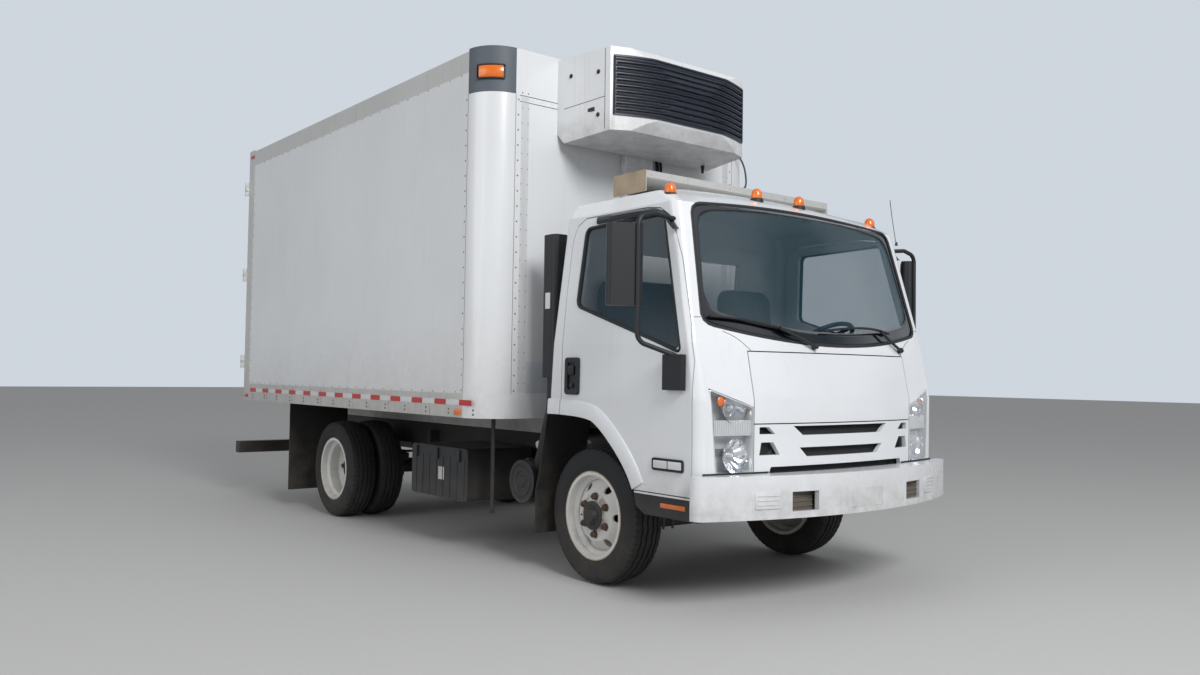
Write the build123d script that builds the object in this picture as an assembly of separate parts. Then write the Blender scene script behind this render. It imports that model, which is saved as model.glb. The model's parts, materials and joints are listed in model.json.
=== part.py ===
from build123d import *
import os
from math import cos, radians, sin

# A cab-over refrigerated box truck. Millimetres, X to the truck's left, Y to its rear, Z up from the road.
# Every place is given from the front axle, and the whole truck is moved at the end so that its box is centred.
os.makedirs("parts", exist_ok=True)

# Driving dimensions
wheelbase = 3365
tyre_radius = 400
tyre_width = 225
rim_radius = 260
front_track_half = 832
dual_centre = 825
dual_spacing = 254
kingpin_x = 715
rail_outer_x = 425
rail_bottom, rail_top = 610, 800
rail_front, rail_rear = -1000, 4930
body_half = 1233
body_front, body_rear = 766, 5080
body_bottom, body_top = 932, 3345
wall = 75
post_radius = 224
bottom_rail_top = 1089
top_rail_bottom = 3190
rear_frame_front = 4940
door_opening_half = 1100
cap_bottom = 3044
front_end, rear_end = -1252, 5296
bumper_half = 1090
gap = 6

origin_y = (front_end + rear_end) / 2


def save(name, *solids):
    """Writes one node, moved to the truck's own frame."""
    shape = solids[0] if len(solids) == 1 else Compound(children=list(solids))
    shape = Pos(0, -origin_y, 0) * shape
    shape.label = name
    export_step(shape, f"parts/{name}.step")


def block(x, y, z):
    """A box from its three pairs of limits."""
    size = [high - low for low, high in (x, y, z)]
    middle = [(high + low) / 2 for low, high in (x, y, z)]
    return Pos(*middle) * Box(*size)


def rod(start, end, radius):
    """A round bar from one point to another."""
    line = Edge.make_line(start, end)
    return Solid.extrude(Face(Wire([Edge.make_circle(radius, Plane(start, z_dir=line.tangent_at(0)))])),
                         Vector(*end) - Vector(*start))


def side_prism(outline, x):
    """A YZ outline carried across X between two limits."""
    face = make_face(outline) if not isinstance(outline, list) else make_face(Polyline(*outline, close=True))
    return Pos(x[0], 0, 0) * extrude(Plane.YZ * face, x[1] - x[0])


def front_prism(outline, y):
    """An XZ outline carried along Y between two limits."""
    face = make_face(outline) if not isinstance(outline, list) else make_face(Polyline(*outline, close=True))
    plane = Plane((0, y[0], 0), x_dir=(1, 0, 0), z_dir=(0, -1, 0))
    return extrude(plane * face, -(y[1] - y[0]))


def plan_prism(outline, z):
    """An XY outline carried up between two heights."""
    face = make_face(outline) if not isinstance(outline, list) else make_face(Polyline(*outline, close=True))
    return Pos(0, 0, z[0]) * extrude(face, z[1] - z[0])


def both(shape):
    """The shape and its twin on the other side."""
    return [shape, mirror(shape, Plane.YZ)]


def tube(points, radii, radius):
    """A bent pipe: straight runs joined by tangent arcs."""
    path = FilletPolyline(*points, radius=radii)
    return sweep(Plane(path @ 0, z_dir=path % 0) * Circle(radius), path=path)


# Cab: plan sections from the sill to the crown of the roof.
# height, half width, front corner y, front middle y, rear y, corner radius
cab_sections = [
    (590, 1030, -975, -1085, 320, 70),
    (1100, 1035, -975, -1090, 318, 70),
    (1400, 1032, -915, -1030, 300, 45),
    (2160, 975, -725, -800, 240, 60),
    (2245, 925, -575, -655, 225, 80),
    (2300, 700, -420, -500, 215, 95),
]


def cab_solid(inset, drop=0):
    """The cab's outer form, or the same form drawn in by inset and with its roof lowered by drop."""
    faces = []
    for height, half, corner_y, middle_y, rear_y, radius in cab_sections:
        half, corner_y, middle_y, rear_y = half - inset, corner_y + inset, middle_y + inset, rear_y - inset
        height = height - (drop if height > 2000 else 0)
        outline = Curve() + [
            ThreePointArc((-half, corner_y), (0, middle_y), (half, corner_y)),
            Polyline((half, corner_y), (half, rear_y), (-half, rear_y), (-half, corner_y)),
        ]
        face = make_face(outline)
        front = face.vertices().filter_by(lambda v: v.Y < 0)
        face = fillet(front, radius)
        face = fillet(face.vertices().sort_by(Axis.Y)[-2:], 40)
        faces.append(Pos(0, 0, height) * face)
    return loft(faces, ruled=True)


cab_outer = cab_solid(0)
cab_room = cab_solid(45, 35)
cab_wall = cab_outer - cab_room
front_skin = cab_outer - cab_solid(25, 35)

# Door outline and its window, in Y and Z
door_front, door_back, door_bottom, door_top = -930, 190, 600, 2150
door_outline = [
    (door_front, door_bottom), (door_front, 1300), (-890, 1500), (-795, 1850), (-735, 2010), (-690, 2085),
    (-610, 2135), (-500, door_top), (40, door_top), (120, 2110), (160, 2020), (183, 1700), (door_back, 1300),
    (door_back, door_bottom),
]
door_window = [(-839, 1344), (74, 1628), (33, 2084), (-640, 2100)]
arch_outline = [
    (-483, 560), (-483, 592), (-433, 682), (-339, 792), (-194, 917), (-70, 985), (600, 985), (600, 560),
]


def grown(outline, amount):
    """An outline moved outwards by amount, or inwards where it is negative."""
    return offset(make_face(Polyline(*outline, close=True)), amount, kind=Kind.INTERSECTION)


def side_face(face, x):
    """A ready YZ face carried across X between two limits."""
    return Pos(x[0], 0, 0) * extrude(Plane.YZ * face, x[1] - x[0])


def door_zone(inner):
    """The room beside the cab that a door may fill, leaning in with the cab's side."""
    return front_prism([(965 - inner, 500), (965 - inner, 1400), (895 - inner, 2200), (1300, 2200), (1300, 500)],
                       (-1050, 350))


cab_side = (800, 1200)
arch = side_prism(arch_outline, (-1200, 1200))
door_hole = side_prism(door_outline, cab_side) & door_zone(gap)
door_panel = side_face(grown(door_outline, -gap), cab_side) & cab_wall & door_zone(0)
door_panel -= arch
window_face = fillet(make_face(Polyline(*door_window, close=True)).vertices(), 35)
window_hole = side_face(window_face, cab_side)
door_left = door_panel - window_hole

# Windscreen outline, in X and Z
screen_outline = Curve() + [
    ThreePointArc((-880, 2155), (0, 2195), (880, 2155)),
    Line((880, 2155), (948, 1500)),
    ThreePointArc((948, 1500), (0, 1402), (-948, 1500)),
    Line((-948, 1500), (-880, 2155)),
]
screen_face = fillet(make_face(screen_outline).vertices(), 60)
screen_plane = Plane((0, -1300, 0), x_dir=(1, 0, 0), z_dir=(0, -1, 0))
screen_prism = extrude(screen_plane * screen_face, -800)
rear_window_hole = block((-520, 520), (150, 400), (1600, 2000))
lid_half, lid_bottom, lid_top = 688, 982, 1357
lamp_outline = [(694, 717), (694, 1068), (968, 1164), (932, 717)]
grille_bottom = 700
front_zone = (-1200, -880)
lid_hole = block((-lid_half - gap, lid_half + gap), front_zone, (lid_bottom - gap, lid_top + gap))
nose_hole = block((-lid_half - gap, lid_half + gap), front_zone, (560, lid_bottom))
lamp_prisms = both(front_prism(lamp_outline, front_zone))

cab_shell = cab_wall - arch - door_hole - mirror(door_hole, Plane.YZ) - screen_prism
cab_shell -= rear_window_hole
cab_shell = cab_shell - lid_hole - nose_hole - lamp_prisms[0] - lamp_prisms[1]
save("cab_shell", cab_shell)

# Glass: a sheet a little inside the outer form
glass_sheet = cab_solid(10) - cab_solid(16)
save("cab_glass", glass_sheet & screen_prism, glass_sheet & rear_window_hole)
for side, flip in (("left", False), ("right", True)):
    for name, shape in (("door", door_left), ("door_glass", glass_sheet & window_hole)):
        save(f"{name}_{side}", mirror(shape, Plane.YZ) if flip else shape)

# Lid over the service bay, and the grille panel below it
service_lid = front_skin & block((-lid_half, lid_half), front_zone, (lid_bottom, lid_top))
save("service_lid", service_lid)
# Slots of the grille: half widths at the top and bottom edge, top and bottom height, and inner half widths
grille_slots = [
    (416, 345, 965, 915, 0, 0),
    (368, 312, 849, 799, 0, 0),
    (655, 655, 962, 925, 590, 545),
    (642, 655, 882, 815, 560, 513),
    (575, 590, 752, 712, 0, 0),
]
front_grille = front_skin & block((-lid_half, lid_half), front_zone, (grille_bottom, lid_bottom - gap))
for top_half, low_half, high, low, top_inner, low_inner in grille_slots:
    slot = [(top_inner, high), (top_half, high), (low_half, low), (low_inner, low)]
    if not top_inner:
        slot = [(-top_half, high), (top_half, high), (low_half, low), (-low_half, low)]
    opening = front_prism(slot, front_zone)
    front_grille -= opening
    if top_inner:
        front_grille -= mirror(opening, Plane.YZ)
save("front_grille", front_grille)
save("headlamps", *[front_skin & prism for prism in lamp_prisms])

# Cab floor: footwell, riser over the wheels and shelf under the seats
floor_under = [(-950, 812), (-470, 812), (-375, 865), (-220, 950), (-80, 1010), (300, 1010)]
floor_over = [(300, 1050), (-100, 1050), (-240, 990), (-395, 905), (-490, 850), (-950, 850)]
cab_floor = side_prism(floor_under + floor_over, (-1000, 1000))
step_well = block((800, 1000), (-870, -500), (600, 812)) - block((815, 1000), (-855, -515), (625, 812))
cab_floor = (cab_floor + both(step_well)) & cab_room
for reach in both(side_prism(door_outline, (974, 1100))):
    cab_floor -= reach
for corner in both(block((950, 1100), (-1000, -840), (700, 900))):
    cab_floor -= corner
save("cab_floor", cab_floor)

dash = side_prism([(-850, 1180), (-930, 1330), (-900, 1385), (-700, 1400), (-640, 1330), (-700, 1150)], (-920, 920))
column = rod((470, -760, 1130), (470, -560, 1440), 30)
pedal_wall = block((-600, 600), (-900, -860), (850, 1150))
save("dashboard", (dash + column + pedal_wall) & cab_room)
wheel_plane = Plane((470, -553, 1451), z_dir=(0, 200, 310))
steering_wheel = wheel_plane * (Torus(205, 14) + Cylinder(45, 24)
                                + [Rot(0, 0, a) * Pos(110, 0, 0) * Box(190, 34, 14) for a in (90, 210, 330)])
save("steering_wheel", steering_wheel)
seats = []
for low, high in ((-800, -30), (250, 790)):
    cushion = fillet(block((low, high), (-330, 150), (1052, 1190)).edges().filter_by(Axis.Z), 40)
    back = side_prism([(60, 1190), (190, 1190), (215, 1850), (130, 1850)], (low + 10, high - 10))
    seats.append(cushion + back)
save("seats", *seats)

# Roof: stone tray of sheet aluminium and the clearance lamps in front of it
tray = side_prism([(-309, 2408), (-309, 2368), (-300, 2362), (-20, 2312), (-20, 2408)], (-815, 815))
tray -= side_prism([(-303, 2420), (-303, 2368), (-26, 2318), (-26, 2420)], (-809, 809))
tray_feet = [block((x - 20, x + 20), (-200, -40), (2240, 2400)) for x in (-500, 500)]
tray = tray + [foot - cab_outer for foot in tray_feet]
save("roof_tray", tray)
roof_lamps = []
for x, y, z in ((-896, -596, 2185), (896, -596, 2185), (-191, -588, 2240), (0, -588, 2240), (191, -588, 2240)):
    roof_lamps.append(Pos(x, y, z + 30) * Cylinder(32, 60) - cab_outer)

# Front bumper: a bowed channel, open behind
bumper_low, bumper_high = 500, 722


def bow(inset):
    """The bumper's plan outline, drawn in by inset."""
    half = bumper_half - inset
    return Curve() + [
        ThreePointArc((-half, -1030 + inset), (0, front_end + inset), (half, -1030 + inset)),
        Polyline((half, -1030 + inset), (half, -975), (-half, -975), (-half, -1030 + inset)),
    ]


bumper_edges = plan_prism(bow(0), (bumper_low, bumper_high))
bumper_edges = fillet(bumper_edges.edges().filter_by(Axis.Z).sort_by(Axis.Y)[:2], 60)
bumper = bumper_edges - plan_prism(bow(28), (bumper_low + 28, bumper_high - 28))
cab_nose = Curve() + [
    ThreePointArc((-1043, -982), (0, -1098), (1043, -982)),
    Polyline((1043, -982), (1043, -800), (-1043, -800), (-1043, -982)),
]
bumper -= plan_prism(cab_nose, (400, 900))
for low in (390, -566):
    bumper -= block((low, low + 176), (-1300, -1100), (535, 636))
save("front_bumper", bumper)
bumper_room = plan_prism(bow(28), (bumper_low, bumper_high))
bumper_arms = [block((x - 20, x + 20), (-1252, -990), (630, 690)) & bumper_room for x in (-405, 405)]

# Chassis frame: two channel rails and their cross members
rails = []
for side in (1, -1):
    web = block(sorted((side * (rail_outer_x - 8), side * rail_outer_x)), (rail_front, rail_rear), (rail_bottom, rail_top))
    flanges = [block(sorted((side * (rail_outer_x - 65), side * rail_outer_x)), (rail_front, rail_rear), z)
               for z in ((rail_bottom, rail_bottom + 8), (rail_top - 8, rail_top))]
    rails += [web, *flanges]
cross_members = [block((-rail_outer_x + 8, rail_outer_x - 8), (y - 40, y + 40), (680, 770))
                 for y in (-940, 1100, 1900, 2700, 4000, 4880)]
frame_rails = rails[0] + rails[1:] + cross_members + bumper_arms
save("frame_rails", frame_rails)

# Axles, springs and drive line
axle_z = tyre_radius
front_beam = (block((-480, 480), (-45, 45), (axle_z - 105, axle_z - 30))
              + both(block((480, 600), (-45, 45), (axle_z - 105, axle_z + 35)))
              + both(block((600, kingpin_x), (-40, 40), (axle_z - 35, axle_z + 45))
                     + Pos(kingpin_x, 0, axle_z) * Cylinder(48, 110)))
for hole in both(Pos(kingpin_x, 0, axle_z) * Cylinder(28.3, 200)):
    front_beam -= hole
spring_packs = []
for x, y_middle, half_length, base in ((395, 0, 590, axle_z - 30), (475, wheelbase, 640, axle_z + 62)):
    pack = block((x - 32, x + 32), (y_middle - 180, y_middle + 180), (base, base + 60))
    leaf = side_prism(Curve() + [
        ThreePointArc((y_middle - half_length, base + 135), (y_middle, base + 60), (y_middle + half_length, base + 135)),
        Line((y_middle + half_length, base + 135), (y_middle + half_length, base + 155)),
        ThreePointArc((y_middle + half_length, base + 155), (y_middle, base + 80), (y_middle - half_length, base + 155)),
        Line((y_middle - half_length, base + 155), (y_middle - half_length, base + 135)),
    ], (x - 32, x + 32))
    hangers = [block((x - 36, x + 36), (y_middle + end * half_length - 30, y_middle + end * half_length + 30),
                     (base + 130, rail_bottom if x < rail_outer_x else 700)) for end in (-1, 1)]
    if x > rail_outer_x:
        hangers = [block((rail_outer_x, x + 36), (y_middle + end * half_length - 30, y_middle + end * half_length + 30),
                         (base + 130, 740)) for end in (-1, 1)]
    spring_packs += both(pack + leaf + hangers)
save("front_axle", front_beam)
save("leaf_springs", *spring_packs)
rear_housing = (Rot(0, 90, 0) * Cylinder(62, 2 * 790) + Sphere(190)
                + Rot(90, 0, 0) * Pos(0, 0, 150) * Cylinder(75, 150))
rear_housing += both(Pos(690, 0, 0) * (Rot(0, 90, 0) * Cylinder(155, 180)))
rear_housing = Pos(0, wheelbase, axle_z) * rear_housing
for x in (-475, 475):
    rear_housing += block((x - 32, x + 32), (wheelbase - 90, wheelbase + 90), (axle_z - 30, axle_z + 62))
save("rear_axle", rear_housing)
engine = block((-280, 280), (-100, 620), (480, 930)) + block((-190, 190), (620, 1000), (500, 800))
save("engine_block", engine)
propshaft = rod((0, 990, 640), (0, wheelbase - 215, axle_z + 10), 45) - engine - rear_housing
save("propshaft", propshaft)

# What hangs on the frame
battery = block((-1030, -500), (1245, 2030), (345, 703))
battery = fillet(battery.edges().filter_by(Axis.X), 35) + block((-500, -425), (1400, 1850), (620, 690))
save("battery_box", battery)
tank = block((470, 960), (1250, 2250), (360, 700))
tank = fillet(tank.edges().filter_by(Axis.Y), 70) + [block((425, 500), (y, y + 50), (620, 700)) for y in (1400, 2050)]
save("fuel_tank", tank)
silencer = Pos(215, 1500, 500) * (Rot(90, 0, 0) * Cylinder(95, 700))
tail_pipe = tube([(215, 1850, 500), (215, 2250, 500), (275, 2700, 640), (275, 4300, 640), (275, 4700, 600)],
                 [120, 120, 120], 32)
save("exhaust_system", silencer + tail_pipe)
duct = fillet(block((-960, -850), (375, 515), (1200, 2095)).edges().filter_by(Axis.Z), 35)
hose = tube([(-905, 445, 1200), (-905, 445, 1020), (-905, 545, 720), (-880, 640, 590)], [150, 110], 42)
canister = Pos(-860, 700, 535) * (Rot(0, 90, 0) * Cylinder(135, 190))
bracket = block((-770, -425), (660, 740), (640, 690))
save("air_intake", duct + hose + canister + bracket)
flap_side = [(392, 975), (470, 600), (502, 500), (502, 235), (510, 235), (510, 502), (478, 602), (400, 975)]
front_flap = side_prism(flap_side, (640, 985))
rear_flap = block((600, 1150), (4100, 4110), (155, body_bottom))
save("mud_flaps", *both(front_flap), *both(rear_flap))

# Load body
side_wall = block((body_half - wall, body_half), (body_front + post_radius, rear_frame_front), (bottom_rail_top, top_rail_bottom))
save("side_walls", *both(side_wall))
post_x, post_y = body_half - post_radius, body_front + post_radius


def corner_ring(z, inner):
    """The quarter round of a front corner between two heights."""
    ring = Pos(post_x, post_y, (z[0] + z[1]) / 2) * (Cylinder(post_radius, z[1] - z[0]) - Cylinder(inner, z[1] - z[0]))
    return ring & block((post_x, body_half + 5), (body_front - 5, post_y), z)


save("corner_posts", *both(corner_ring((body_bottom, cap_bottom), post_radius - wall)))
cap = corner_ring((cap_bottom, body_top), post_radius - wall)
save("corner_caps", *both(cap))
save("front_wall", block((-post_x, post_x), (body_front, body_front + wall), (body_bottom, body_top)))
rail_low = block((body_half - wall, body_half), (post_y, rear_frame_front), (body_bottom, bottom_rail_top))
rail_high = block((body_half - wall, body_half), (post_y, rear_frame_front), (top_rail_bottom, body_top - 15))
save("body_rails", *both(rail_low), *both(rail_high))
inner_half = body_half - wall
roof_panel = (block((-inner_half, inner_half), (post_y, rear_frame_front), (3245, body_top))
              + block((-post_x, post_x), (body_front + wall, post_y), (3245, body_top)))
save("roof_panel", roof_panel)
deck = (block((-inner_half, inner_half), (post_y, rear_frame_front), (1030, 1100))
        + block((-post_x, post_x), (body_front + wall, post_y), (1030, 1100)))
cross_bearers = [block((-inner_half, inner_half), (y, y + 50), (body_bottom, 1030)) for y in range(1100, 4900, 420)]
sills = [block((x - 35, x + 35), (900, rear_frame_front), (rail_top, body_bottom)) for x in (-390, 390)]
save("body_floor", deck + cross_bearers + sills)
portal = block((-body_half, body_half), (rear_frame_front, body_rear), (body_bottom, body_top))
portal -= block((-door_opening_half, door_opening_half), (rear_frame_front - 5, body_rear + 5), (bottom_rail_top, top_rail_bottom))
pivot_x, pivot_y = 1250, 5102
for z in (1300, 2140, 2980):
    for x in (1, -1):
        lug = block(sorted((x * 1200, x * 1262)), (body_rear, 5090), (z - 20, z + 20))
        lug += block(sorted((x * 1238, x * 1262)), (body_rear, 5114), (z - 20, z + 20))
        portal += lug
save("rear_frame", portal)
leaf_half = door_opening_half - 8
leaf = block((10, leaf_half), (5000, body_rear), (bottom_rail_top + 8, top_rail_bottom - 8))
for z in (1300, 2140, 2980):
    for end in (-1, 1):
        low = z + end * 45 - 18
        leaf += block((850, 1262), (body_rear + 8, body_rear + 14), (low, low + 36))
        leaf += block((850, 1080), (body_rear, body_rear + 8), (low, low + 36))
        leaf += block((1238, 1262), (body_rear + 8, 5114), (low, low + 36))
for x in (160, 420):
    leaf += rod((x, 5112, 1120), (x, 5112, 3160), 14)
    leaf += [block((x - 30, x + 30), (body_rear, 5112), (z, z + 60)) for z in (1150, 1750, 2500, 3070)]
save("rear_door_left", leaf)
save("rear_door_right", mirror(leaf, Plane.YZ))

# Refrigeration unit on the front wall
unit_side = Curve() + [
    Polyline((766, 3330), (230, 3325), (185, 3270)),
    ThreePointArc((185, 3270), (150, 3080), (180, 2870)),
    Polyline((180, 2870), (230, 2790), (700, 2760), (766, 2830), (766, 3330)),
]
unit_plan = Curve() + [
    ThreePointArc((-612, 285), (0, 145), (612, 285)),
    Polyline((612, 285), (675, 766), (-675, 766), (-612, 285)),
]
unit = side_prism(unit_side, (-700, 700)) & plan_prism(unit_plan, (2700, 3400))
grille_zone = block((-595, 595), (100, 330), (2885, 3272))
unit_grille = grille_zone & unit
unit_core = grille_zone & (Pos(0, 40, 0) * unit)
louvre_gaps = [block((-575, 575), (100, 330), (z, z + 16)) for z in range(2910, 3250, 38)]
reefer_grille = unit_grille - unit_core
for louvre in louvre_gaps:
    reefer_grille -= louvre
save("reefer_housing", unit - grille_zone + unit_core)
save("reefer_grille", reefer_grille)

# Rear bumper and lamps
rear_bumper = block((-1220, 1220), (5196, rear_end), (410, 520)) + both(block((395, 475), (4700, 5196), (430, 510)))
rear_bumper += both(block((rail_outer_x, 475), (4700, 4860), (430, 760)))
save("rear_bumper", rear_bumper)
marker_lamps = [block(sorted((s * 640, s * 820)), (body_rear, body_rear + 12), (960, 1060)) for s in (1, -1)]
marker_lamps += [block(sorted((s * body_half, s * (body_half + 12))), (1010, 1080), (950, 990)) for s in (1, -1)]
marker_lamps += [block((x - 40, x + 40), (body_rear, body_rear + 12), (3250, 3280)) for x in (-200, 0, 200)]
save("marker_lamps", *roof_lamps, *marker_lamps)
save("wipers", *[rod((x, -1075, 1400), (x - 300, -1078, 1450), 7) for x in (-236, 605)])

# Mirrors: a head turned towards the driver, on a tube arm from the door
head = Pos(1255, -640, 1800) * (Rot(0, 0, 35) * fillet(Box(190, 75, 430).edges().filter_by(Axis.Z), 25))
arm = tube([(975, -716, 2060), (1110, -716, 2075), (1225, -716, 2050), (1225, -716, 1400), (1040, -800, 1330)],
           [60, 60, 60], 13)
foot = block((1036, 1072), (-880, -740), (1150, 1335))
mirror_left = head + (arm - cab_outer) + (foot - cab_outer)
save("mirror_left", mirror_left)
save("mirror_right", mirror(mirror_left, Plane.YZ))


# Wheels
def tyre(x):
    """One tyre, its centre plane at x, by turning its section."""
    half = tyre_width / 2
    section = make_face(Polyline(
        (x - half + 18, rim_radius - 18), (x - half, rim_radius + 45), (x - half, tyre_radius - 55),
        (x - half + 25, tyre_radius - 12), (x - half + 50, tyre_radius), (x + half - 50, tyre_radius),
        (x + half - 25, tyre_radius - 12), (x + half, tyre_radius - 55), (x + half, rim_radius + 45),
        (x + half - 18, rim_radius - 18), close=True))
    return revolve(section, Axis.X)


def rim(x, face):
    """One rim, its disc carried out or in by face."""
    flange = [(-102, 4), (-96, 4), (-90, -11), (-50, -15), (-35, -38)]
    inside = [(-40, -50), (-58, -28), (-102, -24)]
    profile = flange + [(-across, r) for across, r in flange[::-1]]
    profile += [(-across, r) for across, r in inside[::-1]] + inside
    section = make_face(Polyline(*[(x + across, rim_radius + r) for across, r in profile], close=True))
    barrel = revolve(section, Axis.X)
    disc = make_face(Polyline(
        (x + face, 82), (x + face, 150), (x + face * 0.3, rim_radius - 45), (x + face * 0.3 - 12, rim_radius - 45),
        (x + face - 12, 150), (x + face - 12, 82), close=True))
    wheel = barrel + revolve(disc, Axis.X)
    for i in range(6):
        wheel -= Rot(i * 60 + 30, 0, 0) * Pos(x + face * 0.6, 0, 176) * (Rot(0, 90, 0) * Cylinder(24, 140))
    return wheel


front_rim = rim(0, 78) + Pos(52, 0, 0) * (Rot(0, 90, 0) * Cylinder(84, 102))
front_rim = Pos(front_track_half, 0, axle_z) * front_rim
front_tyre = Pos(front_track_half, 0, axle_z) * (tyre(0) - rim(0, 78))
outer_x, inner_x = dual_centre + dual_spacing / 2, dual_centre - dual_spacing / 2
rear_rims = Pos(0, wheelbase, axle_z) * (rim(outer_x, -110) + rim(inner_x, 125)
                                         + Pos(outer_x - 100, 0, 0) * (Rot(0, 90, 0) * Cylinder(84, 80)))
rear_tyres = Pos(0, wheelbase, axle_z) * (tyre(outer_x) - rim(outer_x, -110) + (tyre(inner_x) - rim(inner_x, 125)))

# Steering knuckle: forked round the axle's end on its kingpin, with brake drum and steering arm
arm_y, arm_z = 150, axle_z - 75
knuckle = Pos(795, 0, axle_z) * (Rot(0, 90, 0) * Cylinder(150, 46)) + Pos(kingpin_x, 0, axle_z) * Cylinder(28, 180)
for low in (axle_z - 90, axle_z + 60):
    knuckle += Pos(kingpin_x, 0, low + 15) * Cylinder(48, 30) + block((kingpin_x, 775), (-40, 40), (low, low + 30))
knuckle += block((kingpin_x - 22, kingpin_x + 22), (0, arm_y + 25), (axle_z - 90, axle_z - 66))
tie_rod = rod((-kingpin_x - 25, arm_y, arm_z - 34), (kingpin_x + 25, arm_y, arm_z - 34), 15)
tie_rod += [Pos(x, arm_y, arm_z - 27) * Cylinder(12, 23) for x in (-kingpin_x, kingpin_x)]
save("tie_rod", tie_rod)
for side, flip in (("left", False), ("right", True)):
    for name, shape in (("front_rim", front_rim), ("front_tyre", front_tyre), ("rear_rims", rear_rims),
                        ("rear_tyres", rear_tyres), ("knuckle", knuckle)):
        save(f"{name}_{side}", mirror(shape, Plane.YZ) if flip else shape)
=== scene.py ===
import json
import math
import bmesh
import bpy
import numpy as np
from mathutils import Matrix, Vector


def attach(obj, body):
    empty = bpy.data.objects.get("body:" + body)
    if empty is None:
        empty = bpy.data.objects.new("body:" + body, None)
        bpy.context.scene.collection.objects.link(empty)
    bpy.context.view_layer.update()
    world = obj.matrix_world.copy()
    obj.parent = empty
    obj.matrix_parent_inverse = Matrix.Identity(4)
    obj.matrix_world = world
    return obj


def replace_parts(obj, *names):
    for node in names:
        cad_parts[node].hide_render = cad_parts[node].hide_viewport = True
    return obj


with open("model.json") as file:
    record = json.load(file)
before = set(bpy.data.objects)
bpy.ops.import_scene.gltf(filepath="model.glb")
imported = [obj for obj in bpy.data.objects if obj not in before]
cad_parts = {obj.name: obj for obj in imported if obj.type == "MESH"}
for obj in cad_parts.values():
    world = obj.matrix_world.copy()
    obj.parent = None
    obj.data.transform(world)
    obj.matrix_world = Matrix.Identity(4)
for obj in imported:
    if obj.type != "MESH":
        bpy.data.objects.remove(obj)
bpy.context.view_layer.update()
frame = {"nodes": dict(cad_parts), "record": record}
nodes = frame["nodes"]
print("frame loaded:", len(nodes), "nodes")

frontAxle = 2022.0  # the front axle is this many millimetres before the frame's origin
rearAxle, axleHeight = 3365, 400  # the rear axle behind the front one, and both above the ground

# The camera stands where the photograph was taken, in the frame's own metres and in degrees
photoCamera = {"place": (-4.554, -6.574, 1.229), "yaw": -38.79, "pitch": -2.11, "roll": 0.83, "lens": 29.63,
               "sensor": 36.0}


def makeCamera(values):
    # back is the unit vector from what is looked at to the camera, from its yaw and pitch
    yaw, pitch, roll = (math.radians(values[k]) for k in ("yaw", "pitch", "roll"))
    back = Vector((math.sin(yaw) * math.cos(pitch), -math.cos(yaw) * math.cos(pitch), math.sin(pitch)))
    right = (-back).cross(Vector((0, 0, 1))).normalized()
    up = right.cross(-back)
    rolledRight = math.cos(roll) * right + math.sin(roll) * up
    rolledUp = math.cos(roll) * up - math.sin(roll) * right
    data = bpy.data.cameras.new("photoCamera")
    data.lens, data.sensor_width, data.clip_end = values["lens"], values["sensor"], 200
    camera = bpy.data.objects.new("photoCamera", data)
    turn = Matrix((rolledRight, rolledUp, back)).transposed().to_4x4()
    camera.matrix_world = Matrix.Translation(values["place"]) @ turn
    bpy.context.scene.collection.objects.link(camera)
    bpy.context.scene.camera = camera


studio = {"floorColour": (0.50, 0.50, 0.50), "backdrop": (0.62, 0.67, 0.73), "openSky": (0.16, 0.22, 0.28),
          "cloud": (0.85, 0.89, 0.94), "cloudSize": 2.4, "worldLight": 0.42, "floorHalf": 60.0,
          "keyEnergy": 1150.0, "keyPlace": (-3.0, -12.0, 8.5), "keySize": 5.0,
          "fillEnergy": 260.0, "fillPlace": (-12.0, -1.0, 5.0), "fillSize": 8.0}


def areaLight(name, place, target, size, energy):
    data = bpy.data.lights.new(name, "AREA")
    data.shape, data.size, data.energy = "DISK", size, energy
    light = bpy.data.objects.new(name, data)
    light.location = place
    light.rotation_mode = "QUATERNION"
    light.rotation_quaternion = (Vector(target) - Vector(place)).to_track_quat("-Z", "Y")
    bpy.context.scene.collection.objects.link(light)


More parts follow.
